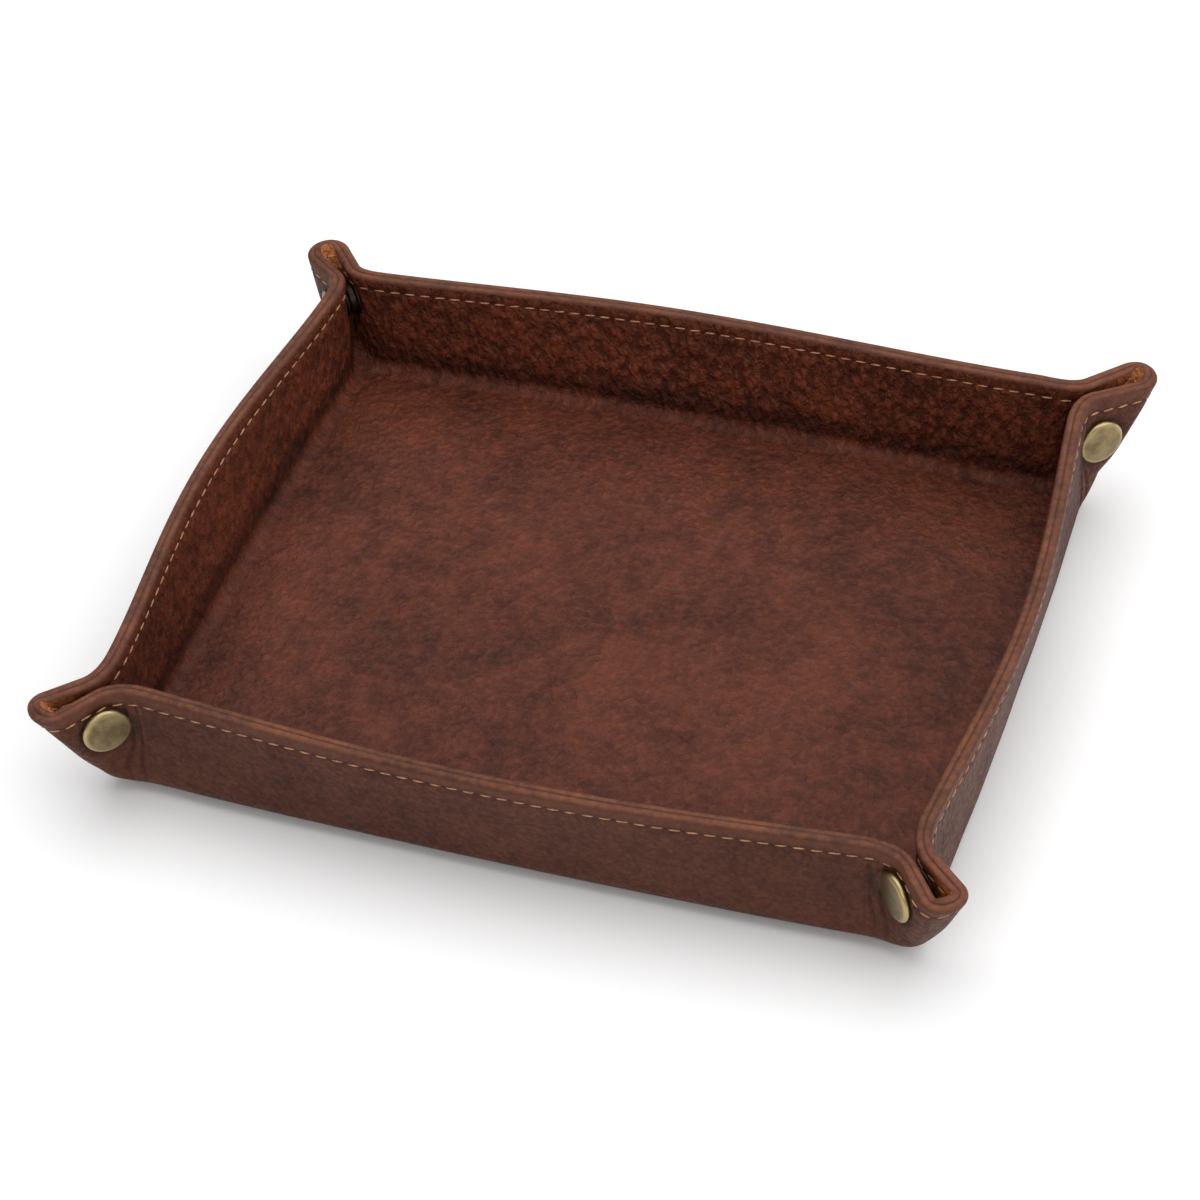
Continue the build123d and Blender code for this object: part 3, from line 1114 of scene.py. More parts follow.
@dataclass(frozen=True)
class EdgeFinish:
    """Look of the burnished rim.

    Attributes:
        name: Name of the material.
        tan: Colour of the bare edge.
        worn: Colour where it is darkest.
        glue: Colour of the line between the hides.
    """

    name: str
    tan: Colour
    worn: Colour
    glue: Colour

    def build(self) -> bpy.types.Material:
        """Makes the material.

        Returns:
            The material.
        """
        graph = Graph(self.name)
        place = graph.attribute("rest", vector=True)
        depth = graph.attribute("depth")
        streaks = graph.noise(place, 520, 5, 0.62)
        patches = graph.noise(place, 60, 4, 0.6).ramp(0.34, 0.70)
        off = depth - 0.53
        glue = 1 - (off * off).ramp(0.0006, 0.0070)
        middle = depth - 0.5
        side = (middle * middle).ramp(0.09, 0.25)
        tone = streaks.ramp(0.32, 0.70) * 0.55 + patches * 0.45
        base = graph.mix(tone, self.worn, self.tan)
        base = graph.mix(side * 0.60, base, self.worn)
        base = graph.mix(glue * (0.25 + 0.35 * patches), base, self.glue)
        shader = graph.shader
        graph.feed(shader.inputs["Base Color"], base)
        graph.feed(shader.inputs["Roughness"], 0.42 + 0.25 * streaks)
        graph.feed(shader.inputs["Normal"], graph.bump(streaks, 0.00008))
        graph.feed(shader.inputs["Specular IOR Level"], 0.24)
        return graph.material


@dataclass(frozen=True)
class PlainFinish:
    """Look of a small piece of one material.

    Attributes:
        name: Name of the material.
        first: Its main colour.
        second: Its second colour, in patches.
        metal: Share of metal.
        rough: Mean roughness.
        scale: Size of the patches, as noise cells per metre.
        relief: Depth of its surface in metres.
        edge_highlight: Colour of the painted highlight on its rounded edge, or nothing.
    """

    name: str
    first: Colour
    second: Colour
    metal: float
    rough: float
    scale: float
    relief: float
    edge_highlight: Colour | None = None

    def build(self) -> bpy.types.Material:
        """Makes the material.

        Returns:
            The material.
        """
        graph = Graph(self.name)
        place = graph.add("ShaderNodeTexCoord", {}, {}, "Object")
        patches = graph.noise(place, self.scale, 5, 0.62)
        fine = graph.noise(place, self.scale * 7, 3)
        shader = graph.shader
        base = graph.mix(patches.ramp(0.34, 0.66), self.first, self.second)
        # Painted highlight on the rounded edge, where the piece's edge attribute is high.
        if self.edge_highlight:
            base = graph.mix(graph.attribute("edge"), base, self.edge_highlight)
        graph.feed(shader.inputs["Base Color"], base)
        graph.feed(shader.inputs["Metallic"], self.metal)
        graph.feed(shader.inputs["Roughness"], self.rough + 0.22 * patches.ramp(0.3, 0.75))
        graph.feed(shader.inputs["Normal"], graph.bump(fine, self.relief))
        return graph.material


class Finish(Enum):
    """The finishes of the tray."""

    OUTER = LeatherFinish(
        "smooth_hide",
        dark=colour(50, 23, 14),
        light=colour(104, 56, 36),
        shoulder=colour(98, 57, 41),
        bare=colour(104, 57, 40),
        pebble=620,
        stretch=1.0,
        relief=0.00022,
        pore_relief=0.000030,
        contrast=0.34,
        rough=0.50,
    )
    LINING = LeatherFinish(
        "pebbled_hide",
        dark=colour(38, 16, 10),
        light=colour(124, 62, 41),
        shoulder=colour(106, 56, 38),
        bare=colour(176, 108, 58),
        pebble=430,
        stretch=0.55,
        relief=0.00110,
        pore_relief=0.000030,
        contrast=0.62,
        rough=0.46,
    )
    EDGE = EdgeFinish("burnished_edge", colour(122, 70, 45), colour(70, 38, 26), colour(50, 27, 19))
    THREAD = PlainFinish("seam_thread", colour(192, 142, 106), colour(150, 103, 74), 0.0, 0.66, 900, 0.00005)
    # Painted shade of a needle hole, as a dark spot between the stitches.
    HOLE = PlainFinish("needle_hole_shade", colour(40, 21, 15), colour(28, 14, 10), 0.0, 0.80, 900, 0.00002)
    BRASS = PlainFinish(
        "antique_brass",
        first=colour(142, 124, 92),
        second=colour(106, 91, 64),
        metal=1.0,
        rough=0.27,
        scale=160,
        relief=0.000006,
        # Painted highlight on the cap's rounded edge.
        edge_highlight=colour(180, 160, 116),
    )
    BRASS_DARK = PlainFinish("dark_brass", colour(76, 66, 50), colour(44, 36, 26), 1.0, 0.42, 300, 0.00002)

    def material(self) -> bpy.types.Material:
        """The finish's material, made when first asked for."""
        return bpy.data.materials.get(self.value.name) or self.value.build()


def add_object(name: str, mesh: bpy.types.Mesh, finishes: tuple[Finish, ...]) -> bpy.types.Object:
    """Puts a mesh in the scene.

    Args:
        name: Name of the piece.
        mesh: Its mesh, in metres in the tray's frame.
        finishes: Its finishes, in the order of the mesh's material numbers.

    Returns:
        The piece.
    """
    piece = bpy.data.objects.new(name, mesh)
    bpy.context.scene.collection.objects.link(piece)
    for finish in finishes:
        mesh.materials.append(finish.material())
    return piece


class Skin:
    """Cuts the leather's grid into pieces, one for each stretch that moves by itself.

    Attributes:
        FINISHES: Finishes of the outer face, the rim and the lining.
        FLOOR_SHARES: Size of each ring of the floor, as a share of its border.
    """

    FINISHES = (Finish.OUTER, Finish.EDGE, Finish.LINING)
    FLOOR_SHARES = (1.0, 0.985, 0.96, 0.92, *np.linspace(0.86, 0.06, 14))

    def __init__(self, form: LeatherForm) -> None:
        """Stores the form.

        Args:
            form: The leather's grid.
        """
        self.form = form
        self.rim = form.rim_distance()
        self.depth = form.depth()
        mesh = form.mesh
        steps = mesh.from_middle(np.arange(form.grid.shape[1]))
        self.loop = smooth(mesh.wall + mesh.mouth, mesh.cells() - mesh.fold * 0.6, steps)

    def piece(self, name: str, rows: tuple[int, int], columns: tuple[int, int]) -> bpy.types.Object:
        """One rectangle of the grid.

        Args:
            name: Name of the piece.
            rows: First and last row.
            columns: First and last column, which may run past the end of the ring.

        Returns:
            The piece.
        """
        row = np.arange(rows[0], rows[1] + 1)
        column = np.arange(columns[0], columns[1] + 1) % self.form.grid.shape[1]
        return self._cut(name, self.form.grid[np.ix_(row, column)], row, column)

    def core(self, name: str, rows: int, columns: tuple[int, int]) -> bpy.types.Object:
        """The middle of the leather at a corner's foot, which closes the pocket when the walls fold out.

        Args:
            name: Name of the piece.
            rows: How many rows up from the floor's edge.
            columns: First and last column, which may run past the end of the ring.

        Returns:
            The piece.
        """
        grid = self.form.grid
        row = np.arange(rows, -1, -1)
        inner = len(grid) - 1 - row
        column = np.arange(columns[0], columns[1] + 1) % grid.shape[1]
        points = (grid[np.ix_(row, column)] + grid[np.ix_(inner, column)]) / 2
        return self._cut(name, points, inner, column)

    def floor(self, name: str, border: np.ndarray, up: bool) -> bpy.types.Object:
        """The flat floor inside a closed row of points.

        Args:
            name: Name of the piece.
            border: The points round it in millimetres.
            up: Whether its face looks up.

        Returns:
            The piece.
        """
        rings = np.stack([border * np.array([share, share, 1.0]) for share in self.FLOOR_SHARES])
        points = np.vstack([rings.reshape(-1, 3), [[0, 0, border[0, 2]]]])
        index = np.arange(rings[..., 0].size).reshape(rings.shape[:2])
        after = np.roll(index, -1, axis=1)
        quads = np.stack([index[:-1], after[:-1], after[1:], index[1:]], axis=2).reshape(-1, 4)
        hub = [[int(a), int(b), len(points) - 1] for a, b in zip(index[-1], after[-1])]
        faces = [face if up else face[::-1] for face in quads.tolist() + hub]
        none = np.zeros(len(points))
        values = {
            "rim": none + LeatherForm.FLOOR_DROP,
            "depth": none + up,
            "foot": none,
            "loop": none,
            "coarse": self.coarseness(points, np.full(len(points), up)),
        }
        normals = np.tile(UP if up else -UP, (len(points), 1))
        return self._made(name, (points, normals), faces, values, (Finish.LINING if up else Finish.OUTER,))

    @staticmethod
    def coarseness(points: np.ndarray, inside: np.ndarray) -> np.ndarray:
        """How strong the grain is: coarsest on the back wall's lining and finest on the floor.

        Args:
            points: The points in millimetres.
            inside: Whether each is on the lining.

        Returns:
            A share of the grain's full depth for each point.
        """
        back = smooth(30.0, 88.0, points[..., 1])
        floor = 1 - smooth(4.5, 10.0, points[..., 2])
        return np.where(inside, (0.62 + 0.50 * back) * (1 - 0.55 * floor), 1.0)

    def _cut(self, name: str, points: np.ndarray, row: np.ndarray, column: np.ndarray) -> bpy.types.Object:
        """Makes a piece from a rectangle of points.

        Args:
            name: Name of the piece.
            points: Its points in millimetres, in rows and columns.
            row: The grid's row that each of its rows takes its look from.
            column: The grid's column that each of its columns takes its look from.

        Returns:
            The piece.
        """
        cut = np.ix_(row, column)
        shape = points.shape[:2]
        depth = np.broadcast_to(self.depth[row][:, None], shape)
        rim = np.broadcast_to(self.rim[row][:, None], shape)
        inside = depth > 0.5
        # The foot value is painted shade in the crease above the floor, strongest 28 mm below the rim on the lining.
        low = np.clip((rim - 22.0) / 12.0, 0, 1)
        values = {
            "rim": rim,
            "depth": depth,
            "foot": np.sin(np.pi * low) ** 2 * inside,
            "loop": self.loop[column] * inside * (1 - smooth(5.0, 13.0, rim)),
            "coarse": self.coarseness(points, inside),
            "shade": self.form.shade[cut],
        }
        index = np.arange(depth.size).reshape(shape)
        faces = np.stack([index[:-1, :-1], index[:-1, 1:], index[1:, 1:], index[1:, :-1]], axis=2).reshape(-1, 4)
        piece = self._made(name, (points, self.form.normals[cut]), faces.tolist(), values, self.FINISHES)
        middle = depth.ravel()[faces].mean(axis=1)
        finish = np.where(middle < 0.01, 0, np.where(middle > 0.99, 2, 1))
        piece.data.polygons.foreach_set("material_index", finish)
        piece.data.update()
        return piece

    @staticmethod
    def _made(
        name: str,
        surface: tuple[np.ndarray, np.ndarray],
        faces: list[list[int]],
        values: dict[str, np.ndarray],
        finishes: tuple[Finish, ...],
    ) -> bpy.types.Object:
        """Makes a smooth piece with the numbers that its finishes read.

        Args:
            name: Name of the piece.
            surface: Its points in millimetres, and a normal for each.
            faces: Point numbers of each face.
            values: One number for each point, by name.
            finishes: Its finishes.

        Returns:
            The piece.
        """
        points, normals = (part.reshape(-1, 3) for part in surface)
        mesh = bpy.data.meshes.new(name)
        mesh.from_pydata((points * MM).tolist(), [], faces)
        mesh.polygons.foreach_set("use_smooth", [True] * len(faces))
        for key, numbers in values.items():
            mesh.attributes.new(key, "FLOAT", "POINT").data.foreach_set("value", numbers.astype(np.float32).ravel())
        place = mesh.attributes.new("rest", "FLOAT_VECTOR", "POINT")
        place.data.foreach_set("vector", (points * MM).astype(np.float32).ravel())
        mesh.normals_split_custom_set_from_vertices(normals.tolist())
        return add_object(name, mesh, finishes)


class Leather:
    """The stitched leather: floor, foot bends, walls, mouths, ears and folds.

    Attributes:
        CORE_HEIGHT: Height of the hidden sheet between the floor's two faces, in millimetres.
        CORE_SHARE: Its size as a share of the leather's at that height.
        CORE_ROWS: How many rows above the bend the hidden sheets at the corners go up.
    """

    CORE_HEIGHT = 2.2
    CORE_SHARE = 0.99
    CORE_ROWS = 6

    def __init__(self, mesh: Mesh) -> None:
        """Shapes the leather.

        Args:
            mesh: How finely it is divided.
        """
        self.form = LeatherForm(mesh)
        self.skin = Skin(self.form)
        self.mesh = mesh
        self.foot = self.form.foot_rows - 1
        self.last = len(self.form.grid) - 1

    def build(self) -> None:
        """Makes every piece, and ties the floors, walls and ears to their bodies."""
        for name, row, node in (("floor_under", 0, "base_outer"), ("floor_lining", self.last, "base_lining")):
            floor = self.skin.floor(name, self.form.grid[row], row > 0)
            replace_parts(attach(floor, "base"), node)
        feet = self.form.grid[: self.form.foot_rows]
        level = int(np.argmin(np.abs(feet[:, 0, 2] - self.CORE_HEIGHT)))
        border = feet[level] * (self.CORE_SHARE, self.CORE_SHARE, 0) + (0, 0, self.CORE_HEIGHT)
        core = self.skin.floor("floor_core", border, up=True)
        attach(core, "base")
        for wall in WALLS:
            self._foot(wall)
        for stretch in self.form.stretches:
            self._upper(stretch)
        LOG.info("leather has %d stretches", len(self.form.stretches))

    @staticmethod
    def slot_of(node: str) -> str:
        """The record's slot for a leather node."""
        return "lining_leather" if node.endswith("lining") else "outer_leather"

    def _foot(self, wall: WallSize) -> None:
        """The bend at the foot of one wall, outside and inside, with the hidden sheets at its two corners.

        Args:
            wall: The wall above the bend.
        """
        cells = self.mesh.cells()
        place = WALLS.index(wall) * 2 * cells
        rows = {"outer": (0, self.foot), "lining": (self.last - self.foot, self.last)}
        bends = {
            "outer": (wall.bow_foot, BEND.foot_outer),
            "lining": (SIZE.leather + wall.bow_foot, BEND.foot_lining),
        }
        for layer, span in rows.items():
            piece = self.skin.piece(f"foot_{wall.name}_{layer}", span, (place, place + 2 * cells))
            start, end = (foot_point(wall, run) for run in bends[layer])
            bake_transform(piece)
            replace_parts(piece, f"bend_{wall.name}_{layer}")
        corner_run = cells - self.mesh.wall
        rows_up = self.foot + self.CORE_ROWS
        start, end = (foot_point(wall, run) for run in bends["outer"])
        for side, first in (("start", place), ("end", place + 2 * cells - corner_run)):
            core = self.skin.core(f"foot_{wall.name}_core_{side}", rows_up, (first, first + corner_run))
            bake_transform(core)

    def _upper(self, stretch: Stretch) -> None:
        """One stretch above the foot, over the rim and down the lining.

        Args:
            stretch: The stretch.
        """
        rows = (self.foot, self.last - self.foot)
        piece = self.skin.piece(stretch.title(), rows, (stretch.first, stretch.last))
        tie(piece, stretch)


def foot_point(wall: WallSize, run: float) -> tuple[float, float, float]:
    """A place on the slanting line up a foot bend.

    Args:
        wall: The wall above the bend.
        run: Distance out from the floor's edge and height together, in millimetres.

    Returns:
        The place in metres.
    """
    out = (wall.reach - SIZE.foot_radius + run / 2) * MM
    return wall.out[0] * out, wall.out[1] * out, run / 2 * MM


def tie(piece: bpy.types.Object, stretch: Stretch) -> None:
    """Ties a piece of leather or thread on a wall or an ear to that body; a piece on a mouth or a fold is only baked
    in place.

    Args:
        piece: The piece.
        stretch: The stretch it lies in.
    """
    wall = f"wall_{stretch.wall.name}"
    ear = f"ear_{stretch.corner}_{stretch.wall.name}"
    fold = f"fold_{stretch.corner}_{stretch.wall.name}"
    if stretch.part is Part.WALL:
        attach(piece, wall)
        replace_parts(piece, f"{wall}_outer", f"{wall}_lining")
        return
    if stretch.part is Part.EAR:
        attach(piece, ear)
        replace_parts(piece, f"{ear}_outer", f"{ear}_lining")
        return
    origin, diagonal, across = corner_axes(stretch.wall, stretch.corner)
    if stretch.part is Part.MOUTH:
        middle = origin + UP * BEND.mouth_height
        start = middle + diagonal * BEND.mouth_start[0] + across * BEND.mouth_start[1]
        end = middle + diagonal * BEND.mouth_end[0] + across * BEND.mouth_end[1]
        tuple(start * MM)
        tuple(end * MM)
        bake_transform(piece)
        return
    rise = math.radians(SIZE.fold_rise)
    outward = diagonal * math.sin(rise) - UP * math.cos(rise)
    inner = origin + diagonal * SIZE.reach + UP * SIZE.tip_height - outward * SIZE.fold_radius
    crease = outward - across
    start, end = inner - crease * BEND.fold_before, inner + crease * BEND.fold_after
    tuple(start * MM)
    tuple(end * MM)
    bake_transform(piece)
    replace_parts(piece, fold)


def placing(x: np.ndarray, y: np.ndarray, z: np.ndarray, point: np.ndarray) -> Matrix:
    """The matrix that puts a shape's axes and middle in place.

    Args:
        x: Unit vector for its first axis.
        y: Unit vector for its second axis.
        z: Unit vector for its third axis.
        point: Place of its middle in millimetres.

    Returns:
        The matrix, in metres.
    """
    matrix = np.eye(4)
    matrix[:3] = np.column_stack([x, y, z, point * MM])
    return Matrix(matrix.tolist())


@dataclass
class Stitching:
    """The thread along the seam, on both faces.

    Attributes:
        form: The leather's grid, which it follows.
        pitch: Distance from stitch to stitch in millimetres.
        thread: Half the length, width and height of a stitch in millimetres.
        thread_out: How far a stitch's middle stands out of the leather.
        hole: Half the length, width and height of the dark spot painted as the shade of a needle hole.
        hole_out: How far that spot's middle stands out of the leather.
        turn: Mean slant of a stitch in degrees, and how much it varies.
        first: Place of the first stitch, as a share of the pitch.
        rng: Source of each stitch's own slant.
    """

    form: LeatherForm
    pitch: float = 4.5
    thread: tuple[float, float, float] = (1.55, 0.27, 0.30)
    thread_out: float = 0.04
    hole: tuple[float, float, float] = (0.30, 0.24, 0.06)
    hole_out: float = 0.02
    turn: tuple[float, float] = (4, 1.5)
    first: float = 0.3
    rng: np.random.Generator = field(default_factory=lambda: np.random.default_rng(11))

    def build(self) -> None:
        """Makes the stitches of each stretch."""
        lengths = self.form.rest_lengths
        rows = (self.form.seam_row, len(self.form.grid) - 1 - self.form.seam_row)
        count = round(lengths[-1] / self.pitch)
        places = (np.arange(count) + self.first) * lengths[-1] / count
        columns = np.interp(places, lengths, np.arange(len(lengths)))
        ring = self.form.grid.shape[1]
        for stretch in self.form.stretches:
            low, high = stretch.first, stretch.last
            inside = [c for c in columns if low <= c < high or low <= c + ring < high]
            if inside:
                self._sew(stretch, rows, inside)
        LOG.info("seam has %d stitches on each face", count)

    def _sew(self, stretch: Stretch, rows: tuple[int, int], columns: list[float]) -> None:
        """Makes the stitches of one stretch as one piece.

        Args:
            stretch: The stretch.
            rows: The seam's row on each face.
            columns: Place of each stitch, in columns.
        """
        shapes = bmesh.new()
        for row in rows:
            for column in columns:
                self._stitch(shapes, row, column)
                self._hole(shapes, row, self._half_on(column))
        name = f"thread_{stretch.title()}"
        mesh = bpy.data.meshes.new(name)
        shapes.to_mesh(mesh)
        shapes.free()
        piece = add_object(name, mesh, (Finish.THREAD, Finish.HOLE))
        tie(piece, stretch)

    def _half_on(self, column: float) -> float:
        """Finds the place half a pitch further on.

        Args:
            column: Place along the seam, in columns.

        Returns:
            That place, in columns.
        """
        lengths = self.form.rest_lengths
        here = np.interp(column, np.arange(len(lengths)), lengths)
        return float(np.interp(here + self.pitch / 2, lengths, np.arange(len(lengths))))

    def _frame(self, row: int, column: float) -> Matrix:
        """Place and axes on the seam: along it, across it and out of the leather.

        Args:
            row: The seam's row.
            column: Place along it, in columns.

        Returns:
            The matrix that puts a shape there.
        """
        grid = self.form.grid
        ring = grid.shape[1]
        low = math.floor(column)
        share = column - low
        point = grid[row, low % ring] * (1 - share) + grid[row, (low + 1) % ring] * share
        along = unit(grid[row, (low + 2) % ring] - grid[row, (low - 1) % ring])
        across = unit(np.cross(self.form.normals[row, low % ring], along))
        return placing(along, across, np.cross(along, across), point)

    def _stitch(self, shapes: bmesh.types.BMesh, row: int, column: float) -> None:
        """One stitch, sunk at both ends.

        Args:
            shapes: The shapes to add it to.
            row: The seam's row.
            column: Place along it, in columns.
        """
        mean, spread = self.turn
        turn = Matrix.Rotation(math.radians(mean + self.rng.normal(0, spread)), 4, "Z")
        size = Matrix.Diagonal((*(half * MM for half in self.thread), 1))
        out = Matrix.Translation((0, 0, self.thread_out * MM))
        lying = Matrix.Rotation(math.pi / 2, 4, "Y")
        self._bead(shapes, self._frame(row, column) @ turn @ out @ size @ lying, 7, 0)

    def _hole(self, shapes: bmesh.types.BMesh, row: int, column: float) -> None:
        """The painted shade of the needle hole between two stitches.

        Args:
            shapes: The shapes to add it to.
            row: The seam's row.
            column: Place along it, in columns.
        """
        size = Matrix.Diagonal((*(half * MM for half in self.hole), 1))
        out = Matrix.Translation((0, 0, self.hole_out * MM))
        self._bead(shapes, self._frame(row, column) @ out @ size, 5, 1)

    @staticmethod
    def _bead(shapes: bmesh.types.BMesh, place: Matrix, rings: int, finish: int) -> None:
        """A smooth ball, pressed to its shape by its matrix.

        Args:
            shapes: The shapes to add it to.
            place: Its matrix.
            rings: Its number of rings.
            finish: Its material number.
        """
        made = bmesh.ops.create_uvsphere(shapes, u_segments=10, v_segments=rings, radius=1, matrix=place)
        for vertex in made["verts"]:
            for face in vertex.link_faces:
                face.smooth = True
                face.material_index = finish


@dataclass(frozen=True)
class TurnedPiece:
    """A round piece of a press stud.

    Attributes:
        node: The end of its CAD node's name.
        profile: Radius and height of each point of its outline, in millimetres, from the axis round to the axis.
        finish: Its finish.
    """

    node: str
    profile: Outline
    finish: Finish

    def spun(self) -> bmesh.types.BMesh:
        """Spins the outline about its axis.

        Returns:
            The shape, in metres.
        """
        shape = bmesh.new()
        vertices = [shape.verts.new((radius * MM, 0, height * MM)) for radius, height in self.profile]
        pairs = list(zip(vertices, vertices[1:]))
        if self.profile[0][0] > 0:
            pairs.append((vertices[-1], vertices[0]))
        edges = [shape.edges.new(pair) for pair in pairs]
        bmesh.ops.spin(
            shape, geom=vertices + edges, cent=(0, 0, 0), axis=(0, 0, 1), angle=math.tau, steps=72, use_merge=True
        )
        bmesh.ops.remove_doubles(shape, verts=shape.verts, dist=0.001 * MM)
        bmesh.ops.recalc_face_normals(shape, faces=shape.faces)
        for face in shape.faces:
            face.smooth = True
        return shape


@dataclass(frozen=True)
class PressStud:
    """The four turned pieces that hold one pinched corner.

    Attributes:
        corner: Name of the corner.
        HIGHLIGHT_BAND: Distances from the axis between which the brass gets its painted edge highlight, in
            millimetres.
        SHARP: Angle in degrees from which an edge stays sharp.
        CAP: The domed cap that shows.
        EYELET: The small dome on the other ear.
        SOCKET: The cap's other half, on the lining.
        STUD: The eyelet's other half, on the lining.
    """

    corner: str

    HIGHLIGHT_BAND = (5.3, 6.5)
    SHARP = 50
    CAP = TurnedPiece(
        "cap",
        (
            (0.0, 5.75), (6.3, 5.75), (6.62, 5.84), (6.79, 6.1), (6.8, 6.45), (6.72, 6.82), (6.5, 7.14), (6.16, 7.36),
            (5.7, 7.5), (5.1, 7.6), (4.2, 7.72), (3.0, 7.86), (1.6, 7.97), (0.0, 8.02),
        ),  # fmt: skip
        Finish.BRASS,
    )
    EYELET = TurnedPiece(
        "eyelet",
        (
            (0.0, 5.9), (4.2, 5.9), (4.5, 5.98), (4.6, 6.2), (4.5, 6.4), (4.2, 6.52), (3.4, 6.74), (2.2, 7.0),
            (1.0, 7.1), (0.0, 7.12),
        ),  # fmt: skip
        Finish.BRASS,
    )
    SOCKET = TurnedPiece(
        "socket",
        (
            (1.2, 1.4), (2.7, 1.4), (2.7, -0.45), (2.85, -0.68), (3.2, -0.78), (3.9, -0.66), (4.2, -0.3), (4.25, 0.9),
            (4.5, 1.25), (4.95, 1.32), (5.2, 1.5), (5.2, 1.88), (1.2, 1.88),
        ),  # fmt: skip
        Finish.BRASS_DARK,
    )
    STUD = TurnedPiece(
        "stud",
        (
            (0.0, 1.88), (4.9, 1.88), (4.9, 1.4), (4.7, 1.14), (2.2, 1.1), (1.95, 0.9), (1.98, 0.5), (2.26, 0.15),
            (2.2, -0.2), (1.9, -0.36), (1.0, -0.4), (0.0, -0.4),
        ),  # fmt: skip
        Finish.BRASS_DARK,
    )

    def build(self) -> None:
        """Makes the four pieces."""
        for wall in WALLS:
            if self.corner not in (wall.start, wall.end):
                continue
            capped = CORNERS[self.corner].cap_wall == wall.name
            for piece in (self.CAP, self.SOCKET) if capped else (self.EYELET, self.STUD):
                self._turn(piece, wall)
        LOG.info("press stud built at %s", self.corner)

    def _turn(self, piece: TurnedPiece, wall: WallSize) -> None:
        """Spins one outline about the stud's axis.

        Args:
            piece: The piece to make.
            wall: The wall whose ear it is on.
        """
        across = corner_axes(wall, self.corner)[2]
        centre = stud_centre(wall, self.corner)
        shape = piece.spun()
        shape.transform(placing(UP, np.cross(across, UP), across, centre))
        name = f"snap_{self.corner}_{piece.node}"
        mesh = bpy.data.meshes.new(name)
        shape.to_mesh(mesh)
        shape.free()
        points = np.array([vertex.co for vertex in mesh.vertices]) / MM - centre
        away = np.linalg.norm(points - np.outer(points @ across, across), axis=1)
        # Where the cap's rounded edge gets its painted highlight.
        edge = smooth(*self.HIGHLIGHT_BAND, away)
        mesh.attributes.new("edge", "FLOAT", "POINT").data.foreach_set("value", edge.astype(np.float32))
        mesh.set_sharp_from_angle(angle=math.radians(self.SHARP))
        made = add_object(f"{name}_turned", mesh, (piece.finish,))
        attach(made, f"ear_{self.corner}_{wall.name}")
        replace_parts(made, name)


@dataclass(frozen=True)
class AreaLight:
    """A soft box.

    Attributes:
        name: Name of the light.
        place: Its place in metres.
        size: Its width and height in metres.
        power: Its power in watts.
    """

    name: str
    place: tuple[float, float, float]
    size: tuple[float, float]
    power: float

    def build(self, target: Vector) -> None:
        """Puts the light in the scene.

        Args:
            target: The place that it is turned to, in metres.
        """
        data = bpy.data.lights.new(self.name, "AREA")
        data.shape = "RECTANGLE"
        data.size, data.size_y = self.size
        data.energy = self.power
        light = bpy.data.objects.new(self.name, data)
        light.location = self.place
        light.rotation_euler = (target - light.location).to_track_quat("-Z", "Y").to_euler()
        bpy.context.scene.collection.objects.link(light)


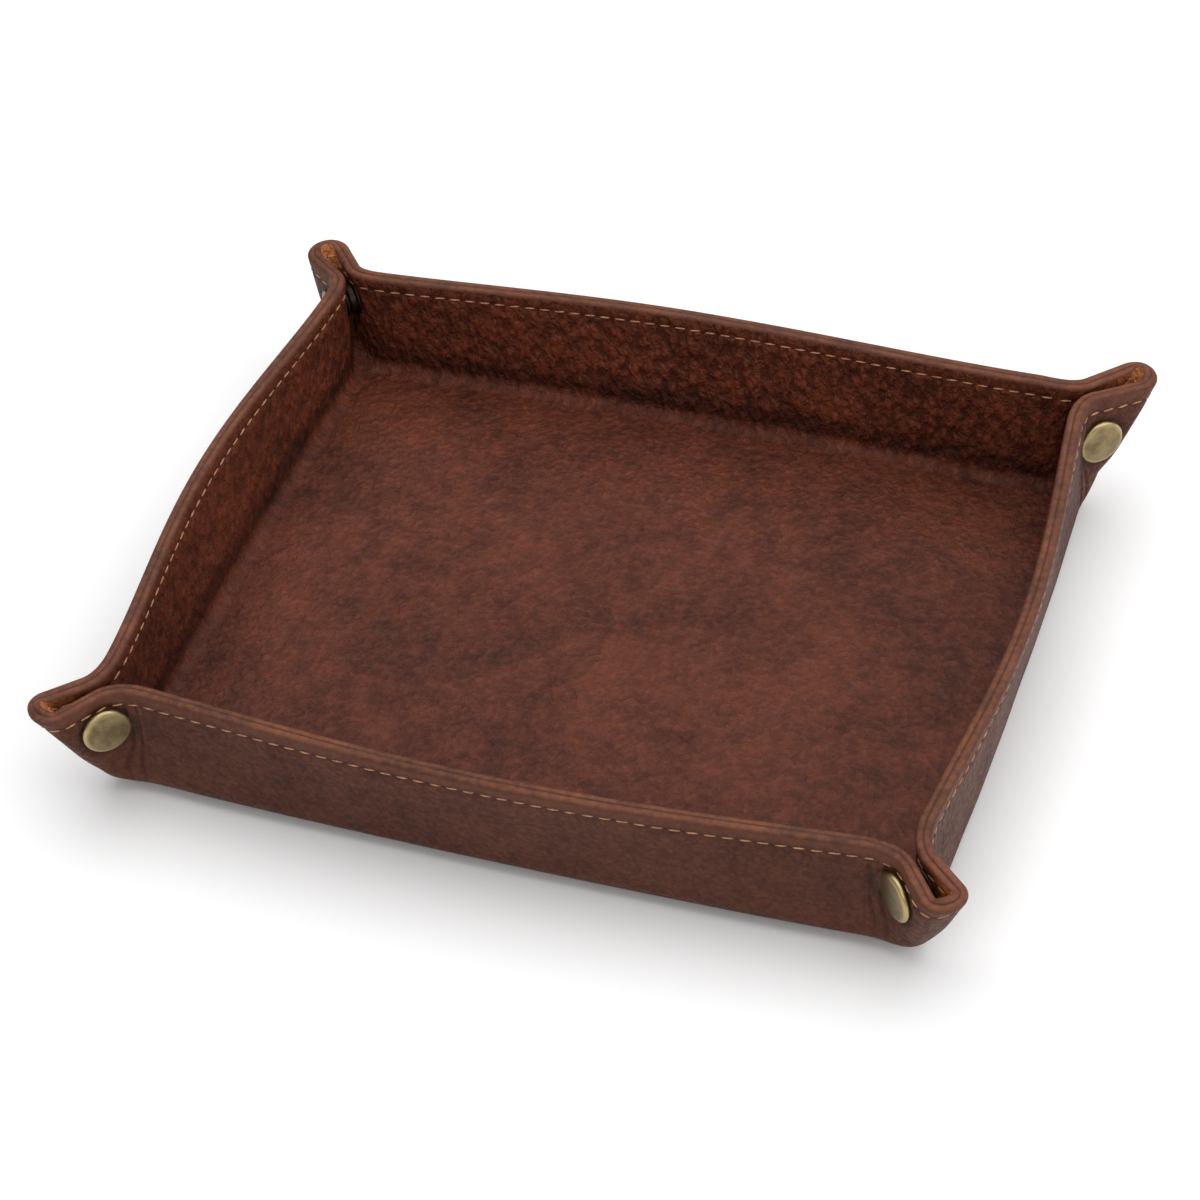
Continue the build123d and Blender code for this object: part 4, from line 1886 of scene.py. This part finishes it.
@dataclass(frozen=True)
class Studio:
    """Floor, background, lights and camera.

    Attributes:
        lights: The soft boxes.
        lit_point: The place that they are turned to, in metres.
        room: Strength of the light from all round.
        sheet: Half the width of the floor in metres.
        azimuth: Degrees of the camera round from the front to the right.
        elevation: Degrees of the camera above the floor.
        distance: Distance of the camera in metres.
        roll: Turn of the camera about its own line of sight in degrees.
        look_at: The place that the camera looks at, in metres.
        lens: Focal length in millimetres.
        sensor: Width of the sensor in millimetres.
    """

    lights: tuple[AreaLight, ...] = (
        AreaLight("key", (-0.02, 0.40, 1.60), (2.4, 2.4), 31.0),
        AreaLight("side", (1.50, 0.10, 1.00), (1.6, 1.2), 9.0),
        AreaLight("fill", (0.10, -1.50, 1.20), (1.8, 1.0), 7.0),
    )
    lit_point: tuple[float, float, float] = (0, 0, 0.02)
    room: float = 0.40
    sheet: float = 6.0
    azimuth: float = 21.49
    elevation: float = 43.09
    distance: float = 1.0371
    roll: float = -4.09
    look_at: tuple[float, float, float] = (-0.00033, -0.00691, 0.020)
    lens: float = 115.74
    sensor: float = 36.0

    def build(self) -> None:
        """Makes everything round the tray."""
        self._floor()
        self._world()
        for light in self.lights:
            light.build(Vector(self.lit_point))
        self._camera()
        LOG.info("studio built with %d lights", len(self.lights))

    def _floor(self) -> None:
        """A white sheet under the tray."""
        shape = bmesh.new()
        bmesh.ops.create_grid(shape, x_segments=1, y_segments=1, size=self.sheet)
        mesh = bpy.data.meshes.new("studio_floor")
        shape.to_mesh(mesh)
        shape.free()
        graph = Graph("white_sheet")
        graph.feed(graph.shader.inputs["Base Color"], (0.92, 0.92, 0.92, 1))
        graph.feed(graph.shader.inputs["Roughness"], 0.9)
        graph.feed(graph.shader.inputs["Specular IOR Level"], 0.0)
        mesh.materials.append(graph.material)
        floor = bpy.data.objects.new("studio_floor", mesh)
        bpy.context.scene.collection.objects.link(floor)

    def _world(self) -> None:
        """White light from all round."""
        world = bpy.data.worlds.new("white_room")
        world.use_nodes = True
        tree = world.node_tree
        background = tree.nodes["Background"]
        background.inputs["Color"].default_value = (1, 1, 1, 1)
        path = tree.nodes.new("ShaderNodeLightPath")
        strength = tree.nodes.new("ShaderNodeMapRange")
        strength.inputs["To Min"].default_value = self.room
        tree.links.new(path.outputs["Is Camera Ray"], strength.inputs["Value"])
        tree.links.new(strength.outputs["Result"], background.inputs["Strength"])
        bpy.context.scene.world = world
        bpy.context.scene.view_settings.view_transform = "Standard"

    def _camera(self) -> None:
        """The photograph's point of view."""
        azimuth, elevation = math.radians(self.azimuth), math.radians(self.elevation)
        level = math.cos(elevation)
        back = Vector((math.sin(azimuth) * level, -math.cos(azimuth) * level, math.sin(elevation)))
        data = bpy.data.cameras.new("photo_camera")
        data.lens = self.lens
        data.sensor_width = self.sensor
        camera = bpy.data.objects.new("photo_camera", data)
        turn = back.to_track_quat("Z", "Y").to_matrix().to_4x4() @ Matrix.Rotation(math.radians(self.roll), 4, "Z")
        camera.matrix_world = Matrix.Translation(Vector(self.look_at) + back * self.distance) @ turn
        bpy.context.scene.collection.objects.link(camera)
        bpy.context.scene.camera = camera


def main() -> None:
    """Builds the tray's looks and the studio."""
    logging.basicConfig(level=logging.INFO, format="%(name)s: %(message)s")
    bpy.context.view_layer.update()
    leather = Leather(Mesh())
    leather.build()
    Stitching(leather.form).build()
    for corner in CORNERS:
        PressStud(corner).build()
    Studio().build()


if __name__ == "__main__":
    main()
